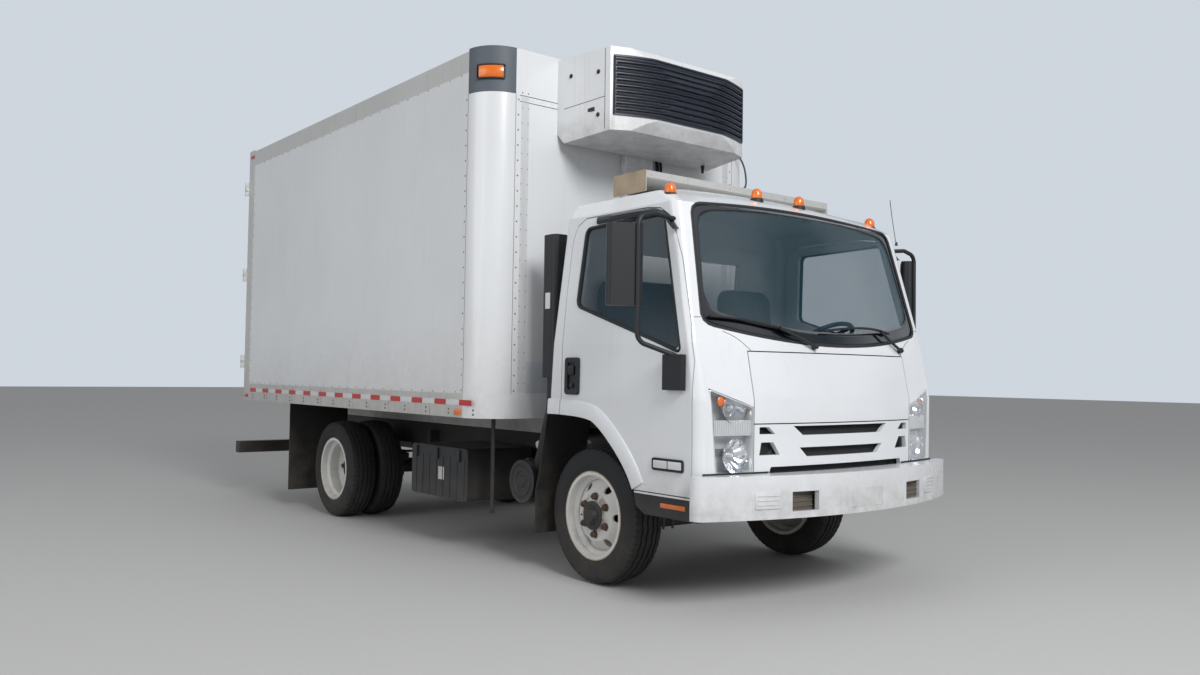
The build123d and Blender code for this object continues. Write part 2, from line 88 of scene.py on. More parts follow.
def makeStudio(values):
    world = bpy.data.worlds.new("studio")
    bpy.context.scene.world = world
    world.use_nodes = True
    tree = world.node_tree
    tree.nodes.clear()
    ray = tree.nodes.new("ShaderNodeLightPath").outputs
    # mirrored rays see soft clouds, seen and let-through rays the plain backdrop, and all others the lamp
    cloud = ranged(tree, noised(tree, tree.nodes.new("ShaderNodeNewGeometry").outputs["Incoming"],
                                values["cloudSize"], 4.0), 0.4, 0.62)
    sky = mixColour(tree, cloud, values["openSky"], values["cloud"])
    clouded, shown, lamp = (addNode(tree, "ShaderNodeBackground", {"Color": colour, "Strength": strength}).outputs[0]
                            for colour, strength in ((sky, 1.0), ((*values["backdrop"], 1), 1.0),
                                                     ((1, 1, 1, 1), values["worldLight"])))
    seen = calculated(tree, "MAXIMUM", ray["Is Camera Ray"], ray["Is Transmission Ray"])
    plain = addNode(tree, "ShaderNodeMixShader", {0: seen, 1: lamp, 2: shown})
    mix = addNode(tree, "ShaderNodeMixShader", {0: ray["Is Glossy Ray"], 1: plain.outputs[0], 2: clouded})
    addNode(tree, "ShaderNodeOutputWorld", {"Surface": mix.outputs[0]})

    half = values["floorHalf"]
    mesh = bpy.data.meshes.new("floor")
    mesh.from_pydata([(-half, -half, 0), (half, -half, 0), (half, half, 0), (-half, half, 0)], [], [(0, 1, 2, 3)])
    floor = bpy.data.objects.new("floor", mesh)
    bpy.context.scene.collection.objects.link(floor)
    material = bpy.data.materials.new("floorPaint")
    material.use_nodes = True
    shader = material.node_tree.nodes["Principled BSDF"]
    shader.inputs["Base Color"].default_value = (*values["floorColour"], 1)
    shader.inputs["Roughness"].default_value = 0.9
    mesh.materials.append(material)
    for light in ("key", "fill"):
        areaLight(light + "Light", values[light + "Place"], (0, 0, 1.4), values[light + "Size"],
                  values[light + "Energy"])
    bpy.context.scene.view_settings.view_transform = "Standard"


def addNode(tree, kind, inputs=None, **settings):
    # a shader node with its settings, and each input either linked to a socket or set to a value
    made = tree.nodes.new(kind)
    for key, value in settings.items():
        setattr(made, key, value)
    for key, value in (inputs or {}).items():
        if isinstance(value, bpy.types.NodeSocket):
            tree.links.new(value, made.inputs[key])
        else:
            made.inputs[key].default_value = value
    return made


def calculated(tree, operation, *values, clamp=False):
    return addNode(tree, "ShaderNodeMath", dict(enumerate(values)), operation=operation, use_clamp=clamp).outputs[0]


def ranged(tree, value, fromMin=0.0, fromMax=1.0, toMin=0.0, toMax=1.0, **settings):
    return addNode(tree, "ShaderNodeMapRange", {"Value": value, "From Min": fromMin, "From Max": fromMax,
                                                "To Min": toMin, "To Max": toMax}, **settings).outputs[0]


def noised(tree, vector, scale, detail, rough=0.5):
    return addNode(tree, "ShaderNodeTexNoise", {"Vector": vector, "Scale": scale, "Detail": detail,
                                                "Roughness": rough}).outputs["Fac"]


def shaderGroup(name, given, result, kind):
    # an empty node group that takes Vector and the given values, its inputs inside, and the socket of its result
    group = bpy.data.node_groups.new(name, "ShaderNodeTree")
    for label, value in {"Vector": (0.0, 0.0, 0.0), **given}.items():
        which = {3: "Vector", 4: "Color"}[len(value)] if isinstance(value, tuple) else "Float"
        group.interface.new_socket(label, in_out="INPUT", socket_type="NodeSocket" + which).default_value = value
    group.interface.new_socket(result, in_out="OUTPUT", socket_type="NodeSocket" + kind)
    return group, group.nodes.new("NodeGroupInput").outputs, group.nodes.new("NodeGroupOutput").inputs[result]


def makeToneDrift():
    # the colour drifts a little lighter and darker with a soft noise
    group, given, result = shaderGroup("toneDrift", {"Colour": (1.0, 1.0, 1.0, 1.0), "Spread": 0.06, "Size": 1.5},
                                       "Colour", "Color")
    shift = calculated(group, "SUBTRACT", noised(group, given["Vector"], given["Size"], 4.0), 0.5)
    amount = calculated(group, "MULTIPLY_ADD", shift, given["Spread"], 1.0)
    scaled = addNode(group, "ShaderNodeVectorMath", {0: given["Colour"], "Scale": amount}, operation="SCALE")
    group.links.new(scaled.outputs[0], result)
    return group


def makeRoadGrime():
    # dirt that grows from the height Top down to the height Full, broken by noise and drawn out in streaks
    group, given, result = shaderGroup("roadGrime", {"Amount": 0.5, "Top": 1.2, "Full": 0.3, "Streaks": 0.1},
                                       "Mask", "Float")
    height = addNode(group, "ShaderNodeSeparateXYZ", {"Vector": given["Vector"]}).outputs["Z"]
    below = ranged(group, height, given["Top"], given["Full"], interpolation_type="SMOOTHSTEP")
    broken = ranged(group, noised(group, given["Vector"], 9.0, 8.0, 0.7), 0.36, 0.66, 0.25)
    drawn = addNode(group, "ShaderNodeMapping", {"Vector": given["Vector"], "Scale": (26, 26, 1.1)}).outputs[0]
    thin = ranged(group, noised(group, drawn, 1.0, 5.0), 0.56, 0.8)
    mask = calculated(group, "MULTIPLY_ADD", calculated(group, "MULTIPLY", below, broken), given["Amount"],
                      calculated(group, "MULTIPLY", thin, given["Streaks"]), clamp=True)
    group.links.new(mask, result)
    return group


def makeSurfaceGrain():
    # a height in metres from noise, drawn out along an axis where Stretch says so
    group, given, result = shaderGroup("surfaceGrain", {"Stretch": (1.0, 1.0, 1.0), "Size": 400.0, "Depth": 0.0001},
                                       "Height", "Float")
    drawn = addNode(group, "ShaderNodeVectorMath", {0: given["Vector"], 1: given["Stretch"]}, operation="MULTIPLY")
    noise = noised(group, drawn.outputs[0], given["Size"], 3.0)
    group.links.new(calculated(group, "MULTIPLY", noise, given["Depth"]), result)
    return group


def makePatches():
    # a mask of ragged patches that cover about the share Cover of the surface
    group, given, result = shaderGroup("raggedPatches", {"Size": 12.0, "Cover": 0.2}, "Mask", "Float")
    noise = noised(group, given["Vector"], given["Size"], 9.0, 0.72)
    edge = ranged(group, given["Cover"], toMin=0.78, toMax=0.3)
    group.links.new(ranged(group, noise, edge, calculated(group, "ADD", edge, 0.07)), result)
    return group


groups = {"tone": makeToneDrift(), "grime": makeRoadGrime(), "grain": makeSurfaceGrain(), "patches": makePatches()}


def addGroup(tree, which, inputs):
    return addNode(tree, "ShaderNodeGroup", inputs, node_tree=groups[which]).outputs[0]


def mixColour(tree, mask, *colours):
    first, second = (each if isinstance(each, bpy.types.NodeSocket) else (*each, 1) for each in colours)
    return addNode(tree, "ShaderNodeMix", {0: mask, 6: first, 7: second}, data_type="RGBA").outputs[2]


# The finish of each slot: colour, roughness, and where it has them metal, clear coat, grain, dirt and rust patches
plainFinish = {"rough": 0.5, "metal": 0.0, "coat": 0.0, "spread": 0.12, "toneSize": 1.6, "grain": 500.0,
               "depth": 0.00004, "stretch": (1, 1, 1), "wave": 0.0, "dirt": 0.35, "dirtColour": (0.17, 0.145, 0.115),
               "top": 1.0, "full": 0.25, "streaks": 0.02, "patch": 0.0, "patchSize": 14.0,
               "patchColour": (0.10, 0.035, 0.012)}
tape = dict(rough=0.3, grain=420.0, depth=0.0002, dirt=0.3, top=1.2, full=0.8)
lens = dict(rough=0.16, coat=0.6, grain=700.0, depth=0.0002)
finishes = {
    "cab_paint": dict(colour=(0.73, 0.75, 0.775), rough=0.2, coat=0.5, spread=0.05, grain=900.0, depth=0.000012,
                      wave=0.0004, dirt=0.5, top=0.85, full=0.45, streaks=0.05),
    "panel_white": dict(colour=(0.70, 0.715, 0.73), rough=0.24, coat=0.25, spread=0.06, grain=260.0, depth=0.00003,
                        wave=0.0022, dirt=0.2, top=1.7, full=0.9, streaks=0.07),
    "aluminium": dict(colour=(0.60, 0.59, 0.57), rough=0.45, metal=0.4, stretch=(1, 0.04, 1), grain=700.0,
                      depth=0.00006, streaks=0.2, top=1.4, full=0.7),
    "cap_grey": dict(colour=(0.085, 0.10, 0.12), rough=0.55, grain=320.0, depth=0.0002, streaks=0.25, top=3.0,
                     full=0.3, dirt=0.1),
    "frame_black": dict(colour=(0.012, 0.012, 0.013), rough=0.55, dirt=0.3, patch=0.07, patchSize=18.0, depth=0.0002),
    "black_plastic": dict(colour=(0.010, 0.011, 0.013), rough=0.46, grain=1100.0, depth=0.00012, dirt=0.3, top=0.8),
    "unit_white": dict(colour=(0.72, 0.735, 0.75), rough=0.3, coat=0.2, spread=0.08, depth=0.00003, wave=0.0006,
                       dirt=0.4, top=2.95, full=2.8, streaks=0.16),
    "grille_dark": dict(colour=(0.014, 0.019, 0.034), rough=0.36, grain=900.0, depth=0.00008),
    "lamp_clear": dict(colour=(0.34, 0.35, 0.36), rough=0.28, metal=0.6, spread=0.2, dirt=0.1),
    "amber": dict(lens, colour=(0.75, 0.16, 0.008)),
    "lamp_red": dict(lens, colour=(0.46, 0.012, 0.010)),
    "tyre": dict(colour=(0.011, 0.011, 0.012), rough=0.74, grain=420.0, depth=0.0003, dirt=0.2, top=0.7, full=0.0,
                 spread=0.5, toneSize=6.0),
    "rim_white": dict(colour=(0.70, 0.70, 0.68), rough=0.4, top=0.8, full=0.1, patch=0.10, patchSize=16.0,
                      depth=0.0001),
    "flap": dict(colour=(0.012, 0.012, 0.012), rough=0.75, grain=300.0, depth=0.0003, dirt=0.3),
    "interior": dict(colour=(0.17, 0.175, 0.18), rough=0.62, grain=1300.0, depth=0.00025, dirt=0.0),
    "seat_cloth": dict(colour=(0.14, 0.145, 0.155), rough=0.95, grain=900.0, depth=0.0006, dirt=0.0),
    "engine_grey": dict(colour=(0.10, 0.10, 0.10), rough=0.6, metal=0.2, patch=0.3, dirt=0.8),
    "steel_dark": dict(colour=(0.13, 0.125, 0.12), metal=0.6, patch=0.32, dirt=0.8, depth=0.0002),
    "rustyIron": dict(colour=(0.075, 0.04, 0.026), rough=0.8, patch=0.45, patchSize=90.0, depth=0.0005, grain=300.0,
                      spread=0.6, toneSize=40.0),
    "screenBorder": dict(colour=(0.006, 0.007, 0.009), rough=0.12, coat=0.5, dirt=0.0),
    # dark rubber, and also the painted shade in the gap over the bumper and behind the grille mesh
    "sealRubber": dict(colour=(0.014, 0.014, 0.015), rough=0.6, grain=900.0, depth=0.0001, dirt=0.1),
    "mirrorSilver": dict(colour=(0.72, 0.76, 0.80), rough=0.03, metal=1.0, dirt=0.0, depth=0.0),
    "lampGrey": dict(colour=(0.66, 0.68, 0.70), rough=0.25, metal=0.25, dirt=0.1),
    "glossBlack": dict(colour=(0.010, 0.011, 0.013), rough=0.12, coat=0.7, dirt=0.0),
    "linerBrown": dict(colour=(0.10, 0.085, 0.07), rough=0.9, dirt=0.7, spread=0.4, toneSize=6.0, grain=200.0,
                       depth=0.0006),
    "chrome": dict(colour=(0.80, 0.81, 0.83), rough=0.09, metal=1.0, dirt=0.0, spread=0.05),
    "lensClear": dict(colour=(0.62, 0.64, 0.66), rough=0.1, coat=0.8, dirt=0.0, grain=300.0, depth=0.0006,
                      stretch=(1, 1, 0.2)),
    "tapeRed": dict(tape, colour=(0.50, 0.022, 0.018)),
    "tapeWhite": dict(tape, colour=(0.66, 0.67, 0.68)),
    # the tan of the tray's right end is a painted reflection, not a board
    "tanReflection": dict(colour=(0.36, 0.29, 0.21), rough=0.8, stretch=(1, 0.06, 1), grain=160.0, depth=0.0004,
                     spread=0.5, toneSize=7.0, dirt=0.0, streaks=0.3),
    "mottledStrip": dict(colour=(0.60, 0.61, 0.62), metal=0.15, patch=0.28, patchSize=30.0,
                         patchColour=(0.26, 0.24, 0.21), streaks=0.4),
    "blueBand": dict(colour=(0.56, 0.59, 0.63), rough=0.4, metal=0.1, streaks=0.3, top=1.5, full=0.8),
    "seamShadow": dict(colour=(0.05, 0.05, 0.052), rough=0.8, dirt=0.0),
    "stickerWhite": dict(colour=(0.62, 0.62, 0.60), dirt=0.7),
}

# The record's slot of each finish that has a name of its own; the red ones have none
slotFor = {"rustyIron": "steel_dark", "screenBorder": "glass", "sealRubber": "black_plastic",
           "seamShadow": "black_plastic", "linerBrown": "black_plastic", "glossBlack": "black_plastic",
           "lampGrey": "lamp_clear", "chrome": "lamp_clear", "lensClear": "lamp_clear", "lampCover": "lamp_clear",
           "mirrorSilver": "glass", "tapeWhite": "panel_white", "blueBand": "panel_white",
           "stickerWhite": "panel_white", "mottledStrip": "aluminium", "tanReflection": "aluminium", "lamp_red": None,
           "tapeRed": None}
materials = {}


def makeFinish(name, given):
    v = {**plainFinish, **given}
    material = bpy.data.materials.new(name)
    material.use_nodes = True
    tree = material.node_tree
    shader = tree.nodes["Principled BSDF"]
    place = tree.nodes.new("ShaderNodeTexCoord").outputs["Object"]
    colour = addGroup(tree, "tone", {"Vector": place, "Colour": (*v["colour"], 1), "Spread": v["spread"] * 2,
                                     "Size": v["toneSize"]})
    worn = None
    if v["patch"]:
        worn = addGroup(tree, "patches", {"Vector": place, "Size": v["patchSize"], "Cover": v["patch"]})
        colour = mixColour(tree, worn, colour, v["patchColour"])
    if v["dirt"] or v["streaks"]:
        worn = addGroup(tree, "grime", {"Vector": place, "Amount": v["dirt"], "Top": v["top"], "Full": v["full"],
                                        "Streaks": v["streaks"]})
        colour = mixColour(tree, worn, colour, v["dirtColour"])
    tree.links.new(colour, shader.inputs["Base Color"])
    for socket, value in (("Metallic", v["metal"]), ("Coat Weight", v["coat"]), ("Coat Roughness", 0.06),
                          ("Roughness", v["rough"])):
        shader.inputs[socket].default_value = value
    if worn is not None:
        tree.links.new(ranged(tree, worn, toMin=v["rough"], toMax=0.85), shader.inputs["Roughness"])
    if v["depth"]:
        height = addGroup(tree, "grain", {"Vector": place, "Stretch": v["stretch"], "Size": v["grain"],
                                          "Depth": v["depth"]})
        if v["wave"]:
            wave = addGroup(tree, "grain", {"Vector": place, "Stretch": (1, 1, 0.8), "Size": 2.2, "Depth": v["wave"]})
            height = calculated(tree, "ADD", height, wave)
        bump = addNode(tree, "ShaderNodeBump", {"Height": height, "Distance": 1.0, "Strength": 1.0})
        tree.links.new(bump.outputs["Normal"], shader.inputs["Normal"])
    materials[name] = material
    return tree, shader, place


def makeGlass(name, tint, clear):
    # tinted glass that is clear where it is faced and closes only at a sharp slant, on both of its faces alike
    tree, shader, _ = makeFinish(name, {"colour": tint, "rough": 0.03, "dirt": 0.0, "streaks": 0.0, "depth": 0.0,
                                        "spread": 0.2})
    slant = addNode(tree, "ShaderNodeLayerWeight", {"Blend": 0.5}).outputs["Facing"]
    tree.links.new(ranged(tree, slant, 0.45, 1.0, 1 - clear, 0.9), shader.inputs["Alpha"])
    shader.inputs["Specular IOR Level"].default_value = 1.0


def makeRimPaint(name, centreY):
    # white paint that rusts along the flange and round the nuts, by the distance from the wheel's centre
    tree, shader, place = makeFinish(name, finishes["rim_white"])
    colour = shader.inputs["Base Color"].links[0].from_socket
    flat = addNode(tree, "ShaderNodeMapping", {"Vector": place, "Location": (0, -centreY, -axleHeight / 1000),
                                               "Scale": (0, 1, 1)})
    reach = addNode(tree, "ShaderNodeVectorMath", {0: flat.outputs[0]}, operation="LENGTH").outputs["Value"]
    ragged = calculated(tree, "MULTIPLY_ADD", noised(tree, place, 22.0, 8.0, 0.7), 0.022, reach)
    colour = mixColour(tree, ranged(tree, ragged, 0.262, 0.268), colour, (0.33, 0.23, 0.14))
    spots = addGroup(tree, "patches", {"Vector": place, "Size": 26.0, "Cover": 0.55})
    stain = calculated(tree, "MULTIPLY", ranged(tree, ragged, 0.15, 0.128, 0.0, 0.6), spots)
    tree.links.new(mixColour(tree, stain, colour, (0.20, 0.085, 0.03)), shader.inputs["Base Color"])


for finishName, finishValues in finishes.items():
    makeFinish(finishName, finishValues)
makeGlass("glass", (0.008, 0.055, 0.080), 0.76)
makeGlass("lampCover", (0.50, 0.52, 0.54), 0.97)
makeRimPaint("rimFront", -frontAxle / 1000)
makeRimPaint("rimRear", (rearAxle - frontAxle) / 1000)
for row in frame["record"]["subparts"]:
    name, finish = row["node"], row["material_slot"]
    if name.startswith(("front_rim", "rear_rims")):
        finish = "rimFront" if name.startswith("front") else "rimRear"
    nodes[name].data.materials.clear()
    nodes[name].data.materials.append(materials[finish])
print("finishes laid on the carried-over nodes:", len(materials))

# Ruled stretches of a smooth skin are shaded as one surface
for name in ("cab_shell", "door_left", "door_right", "service_lid", "front_grille", "cab_glass", "front_bumper",
             "door_glass_left", "door_glass_right", "reefer_housing", "corner_posts", "corner_caps"):
    stack = nodes[name].modifiers
    stack.new("weld", "WELD").merge_threshold = 0.00002
    stack.new("split", "EDGE_SPLIT").split_angle = math.radians(28)
    stack.new("weighted", "WEIGHTED_NORMAL").keep_sharp = True
makeCamera(photoCamera)
makeStudio(studio)
print("camera, floor and lights made")


def pointsAt(x, y, z):
    # rows of points from three coordinates, each a single one or a list
    return np.stack(np.broadcast_arrays(x, y, z), -1).astype(float)


def gridShape(grid, roundRows=False, roundColumns=False, caps=False):
    # quads between neighbouring rows and columns of points, and the first and last row closed where caps is true
    rows, columns = grid.shape[:2]
    row = np.arange(rows if roundRows else rows - 1)[:, None]
    column = np.arange(columns if roundColumns else columns - 1)[None]
    row, nextRow, nextColumn = row * columns, (row + 1) % rows * columns, (column + 1) % columns
    corners = (row + column, row + nextColumn, nextRow + nextColumn, nextRow + column)
    faces = np.stack(corners, -1).reshape(-1, 4).tolist()
    if caps:
        faces += [list(range(columns)), list(range((rows - 1) * columns, rows * columns))]
    return grid.reshape(-1, 3), faces


def joined(shapes):
    points, faces, start = [], [], 0
    for somePoints, someFaces in shapes:
        points.append(np.asarray(somePoints, float))
        faces += [[i + start for i in face] for face in someFaces]
        start += len(somePoints)
    return np.vstack(points), faces


def copies(shape, places, turn=None):
    # the same small shape at each place, turned by one matrix
    points, places = np.asarray(shape[0], float), np.asarray(places, float).reshape(-1, 3)
    moved = (points if turn is None else points @ np.asarray(turn).T)[None] + places[:, None]
    return moved.reshape(-1, 3), [[i + k * len(points) for i in face] for k in range(len(places)) for face in shape[1]]


def facing(direction):
    # the turn that sets a shape's own Z along a direction
    return np.array(Vector(direction).to_track_quat("Z", "Y").to_matrix())


def mirrored(shape):
    return shape[0] * (-1, 1, 1), shape[1]


def turned(profile, steps, closed=False):
    # each profile point (height, radius) goes round Z: (radius cos a, radius sin a, height)
    height, radius = np.asarray(profile, float).T[:, :, None]
    angle = np.arange(steps) / steps * 2 * np.pi
    return gridShape(pointsAt(radius * np.cos(angle), radius * np.sin(angle), height), closed, True, caps=not closed)


def lathed(profile, steps, places, direction=None, closed=False):
    return copies(turned(profile, steps, closed), places, facing(direction) if direction else None)


def carried(path, profile, up=(0, 0, 1), loop=False):
    # each profile point (a, b) stands at the path's point + a side + b lift, both square to the path's run
    path, profile = np.asarray(path, float), np.asarray(profile, float)
    run = np.roll(path, -1, 0) - np.roll(path, 1, 0) if loop else np.gradient(path, axis=0)
    run /= np.linalg.norm(run, axis=1, keepdims=True)
    side = np.cross(run, np.asarray(up, float))
    side /= np.linalg.norm(side, axis=1, keepdims=True)
    lift = np.cross(side, run)
    grid = path[:, None] + side[:, None] * profile[None, :, :1] + lift[:, None] * profile[None, :, 1:]
    return gridShape(grid, loop, True, caps=not loop)


def roundSection(radius, steps=10):
    angle = np.arange(steps) / steps * 2 * np.pi
    return np.stack((radius * np.cos(angle), radius * np.sin(angle)), -1)


def smoothed(points, rounds=3):
    # each corner is cut at a quarter of its runs, again and again, with the two ends kept
    points = np.asarray(points, float)
    for _ in range(rounds):
        a, b = points[:-1], points[1:]
        cut = np.stack((0.75 * a + 0.25 * b, 0.25 * a + 0.75 * b), 1).reshape(-1, points.shape[1])
        points = np.vstack((points[:1], cut, points[-1:]))
    return points


def pipe(points, radius, up=(0.13, 0.21, 0.97), rounds=3, steps=10):
    return carried(smoothed(points, rounds), roundSection(radius, steps), up)


def bent(start, pivot, end, t):
    return (1 - t) ** 2 * start + 2 * t * (1 - t) * pivot + t ** 2 * end


def roundedLoop(corners, radius):
    # a closed outline whose corners are quadratic curves between points at radius from each corner
    corners = np.asarray(corners, float)
    before, after = (np.roll(corners, way, 0) - corners for way in (1, -1))
    before, after = (way / np.linalg.norm(way, axis=1, keepdims=True) * radius for way in (before, after))
    t = np.linspace(0, 1, 7)[None, :, None]
    return bent((corners + before)[:, None], corners[:, None], (corners + after)[:, None], t).reshape(-1, 2)


def loopOf(limits, radius):
    x0, x1, z0, z1 = limits
    return roundedLoop([(x0, z0), (x1, z0), (x1, z1), (x0, z1)], radius)


def shrunk(loop, share):
    middle = loop.mean(0)
    return middle + (loop - middle) * share


def ringed(rings):
    # a closed shape through rings of points with equal counts, its first and last ring filled
    return gridShape(np.stack(rings), False, True, caps=True)


def softBlock(low, high, edge, steps=3):
    # a block with round edges: its rounded section in X and Z shrinks to its corner centres at both ends of Y
    low, high = np.asarray(low, float), np.asarray(high, float)
    (x0, y0, z0), (x1, y1, z1) = low + edge, high - edge
    angle = (np.linspace(0, 0.5, steps + 1)[None] + np.arange(4)[:, None] * 0.5) * np.pi
    spread = np.stack((np.cos(angle), np.sin(angle)), -1)
    slant = np.linspace(0.5, 0, steps + 1) * np.pi
    draw = np.concatenate((np.cos(slant), np.cos(slant)[::-1])) * edge
    reach = np.concatenate((y0 - np.sin(slant) * edge, (y1 + np.sin(slant) * edge)[::-1]))
    ring = np.array([(x1, z1), (x0, z1), (x0, z0), (x1, z0)])[None, :, None] + draw[:, None, None, None] * spread[None]
    ring = ring.reshape(len(draw), -1, 2)
    return ringed(pointsAt(ring[..., 0], reach[:, None], ring[..., 1]))


def blocks(corners, edge, steps=3):
    return [softBlock(low, high, edge, steps) for low, high in corners]


def domes(places, normal, radius, height, sides=8):
    # rivet or bolt heads: a quarter circle turned round, at each place
    slant = np.linspace(0, 0.45, 3) * np.pi
    profile = np.stack((height * np.sin(slant), radius * np.cos(slant)), -1)
    return lathed(np.vstack(((-height * 0.6, radius), profile)), sides, places, normal)


def toFrame(points):
    # millimetres from the front axle become the frame's metres
    return (np.asarray(points, float) - (0, frontAxle, 0)) / 1000


def addPiece(name, shape, finish, body="root", slot=None, crease=35.0):
    mesh = bpy.data.meshes.new(name)
    mesh.from_pydata(toFrame(shape[0]).tolist(), [], shape[1])
    form = bmesh.new()
    form.from_mesh(mesh)
    bmesh.ops.remove_doubles(form, verts=form.verts, dist=0.00002)
    bmesh.ops.recalc_face_normals(form, faces=form.faces)
    form.to_mesh(mesh)
    form.free()
    mesh.shade_smooth()
    mesh.set_sharp_from_angle(angle=math.radians(crease))
    mesh.materials.append(materials[finish])
    piece = bpy.data.objects.new(name, mesh)
    bpy.context.scene.collection.objects.link(piece)
    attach(piece, body)
    slot = slot or slotFor.get(finish, finish)
    return piece


def addPair(name, shape, finish, slot=None, crease=35.0):
    # one piece of two mirrored halves
    return addPiece(name, joined([shape, mirrored(shape)]), finish, slot=slot, crease=crease)


def addSides(name, shape, finish, body=None):
    # a piece for each side, on that side's own body where body names one
    for side, ready in (("left", shape), ("right", mirrored(shape))):
        addPiece(name + side, ready, finish, body + side if body else "root")


def thicken(piece, depth):
    solid = piece.modifiers.new("wall", "SOLIDIFY")
    solid.thickness, solid.offset = depth / 1000, 0.0


# Tyres: five ribs between zigzag grooves, notched shoulders and ringed walls
tyre = {"radius": 400, "half": 112.5, "treadHalf": 92.5, "bead": 242, "crown": 12, "groove": 11, "grooveHalf": 5,
        "grooves": (-56, -20, 20, 56), "shoulder": 74, "zigzag": 3.2, "pitches": 60, "stepsPerPitch": 6, "notch": 6,
        "notchFrom": 66, "wallNotch": (380, 12, 4), "rings": (262, 284, 352), "ringProud": 1.6, "ringHalf": 5}


def tyreShape(centreX, centreY, v):
    # rows go round the wheel and columns across it; a tread column's radius is the crown's less the groove's depth
    turns = v["pitches"] * v["stepsPerPitch"]
    step = np.arange(turns)[:, None]
    zig = v["zigzag"] * (np.abs((step / v["stepsPerPitch"]) % 2 - 1) * 2 - 1)
    # a column is its place across, its depth and whether it sways with the zigzag
    edge, deep = v["grooveHalf"], v["groove"]
    columns = [(-v["treadHalf"], 0, 0), (-v["shoulder"], 0, 0)]
    for middle in v["grooves"]:
        columns += [(middle + a, depth, sway) for a, depth, sway in
                    ((-edge - 2, 0, 1), (-edge, deep, 1), (edge, deep, 1), (edge + 2, 0, 1), (edge + 9, 0, 0))]
    across, depth, sway = np.array(columns[:-1] + [(v["shoulder"], 0, 0), (v["treadHalf"], 0, 0)]).T[:, None]
    notched = step % v["stepsPerPitch"] == 0
    x = across + zig * sway
    r = v["radius"] - v["crown"] * (across / v["treadHalf"]) ** 2 - depth
    r = r - np.where(notched & (np.abs(across) > v["notchFrom"]), v["notch"], 0)
    share = np.linspace(0, 1, 26)[1:]
    wallR = v["radius"] - v["crown"] - share * (v["radius"] - v["crown"] - v["bead"])
    wallX = v["treadHalf"] + (v["half"] - v["treadHalf"]) * np.sin(np.pi * share ** 0.88) ** 0.8
    wallX = np.nan_to_num(wallX, nan=v["treadHalf"])
    for ring in v["rings"]:
        wallX = wallX + v["ringProud"] * np.exp(-((wallR - ring) / v["ringHalf"]) ** 2)
    notchR, notchHalf, notchDepth = v["wallNotch"]
    rightX = np.minimum(wallX, v["half"]) - notched * np.exp(-((wallR - notchR) / notchHalf) ** 2) * notchDepth
    rightR = np.broadcast_to(wallR, rightX.shape)
    x, r = np.hstack((-rightX[:, ::-1], x, rightX)), np.hstack((rightR[:, ::-1], r, rightR))
    angle = step / turns * 2 * np.pi
    return gridShape(pointsAt(centreX + x, centreY + r * np.sin(angle), axleHeight + r * np.cos(angle)), True, True)


# Wheels: tyres, six nuts on the disc, and the hub's cap with its own ring of bolts; a pair of twins is one body
nutProfile = [(-1, 25), (3, 25), (3.2, 20.5), (20, 20.5), (25, 16), (26, 10), (34, 9), (35, 0.5)]
wheels = {"front_wheel_": {"piece": "treadedTyre_front_", "node": "front_tyre_", "y": 0, "tracks": (832,),
                           "disc": 910, "hub": 935, "cap": [(-6, 85), (1, 85), (4, 80), (6, 66), (6, 56), (12, 50),
                                                            (27, 44), (31, 40), (31, 12), (34, 10), (34, 0.5)]},
          "rear_wheels_": {"piece": "treadedTyres_rear_", "node": "rear_tyres_", "y": rearAxle, "tracks": (952, 698),
                           "disc": 842, "hub": 892, "cap": [(-3, 85), (1, 85), (3, 78), (22, 78), (26, 84), (34, 84),
                                                            (37, 80), (37, 52), (40, 48), (40, 0.5)]}}
nutCircle, boltCircle = 111, 62


def onCircle(x, y, radius, turn=0.0):
    # six places on a circle about the axle: (x, y + radius sin a, height + radius cos a)
    angle = np.arange(6) * np.pi / 3 + turn
    return pointsAt(x, y + radius * np.sin(angle), axleHeight + radius * np.cos(angle))


for wheelName, v in wheels.items():
    for side, sign in (("left", 1), ("right", -1)):
        body, outward = wheelName + side, (sign, 0, 0)
        rubber = joined([tyreShape(sign * track, v["y"], tyre) for track in v["tracks"]])
        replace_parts(addPiece(v["piece"] + side, rubber, "tyre", body), v["node"] + side)
        nuts = lathed(nutProfile, 6, onCircle(sign * v["disc"], v["y"], nutCircle), outward)
        addPiece("wheelNuts_" + body, nuts, "rustyIron", body, crease=20)
        hub = joined([lathed(v["cap"], 40, (sign * v["hub"], v["y"], axleHeight), outward),
                      domes(onCircle(sign * (v["hub"] + v["cap"][-3][0]), v["y"], boltCircle, 0.5), outward, 6,
                            5)])
        addPiece("hubCap_" + body, hub, "black_plastic", body)
print("tyres, nuts and hub caps made")

# Cab front: the painted border and rubber seal of the windscreen, over the same bowed front as the frame's glass
cabFront = {"heights": (590, 1100, 1400, 2160, 2245, 2300), "half": (1030, 1035, 1032, 975, 925, 700),
            "corner": (-975, -975, -915, -725, -575, -420), "middle": (-1085, -1090, -1030, -800, -655, -500)}


def cabAt(z, *which):
    return [np.interp(z, cabFront["heights"], cabFront[k]) for k in which]


def onSide(outline, lift):
    # points of a YZ outline, lifted off the cab's left side
    y, z = np.moveaxis(np.asarray(outline, float), -1, 0)
    return pointsAt(cabAt(z, "half")[0] + lift, y, z)


def frontY(x, z):
    # each section's front is an arc through its two corners and its middle
    half, corner, middle = cabAt(z, "half", "corner", "middle")
    depth = corner - middle
    bow = (half ** 2 + depth ** 2) / (2 * depth)
    return middle + bow - np.sqrt(bow ** 2 - np.asarray(x, float) ** 2)


def onFront(outline, lift):
    # points of an XZ outline, lifted off the cab's front
    x, z = np.moveaxis(np.asarray(outline, float), -1, 0)
    return pointsAt(x, frontY(x, z) - lift, z)


screen = {"topHalf": 880, "topSide": 2155, "topMiddle": 2195, "lowHalf": 948, "lowSide": 1500, "lowMiddle": 1402,
          "outer": (1, 1, 1, 60), "inner": (38, 40, 78, 120)}


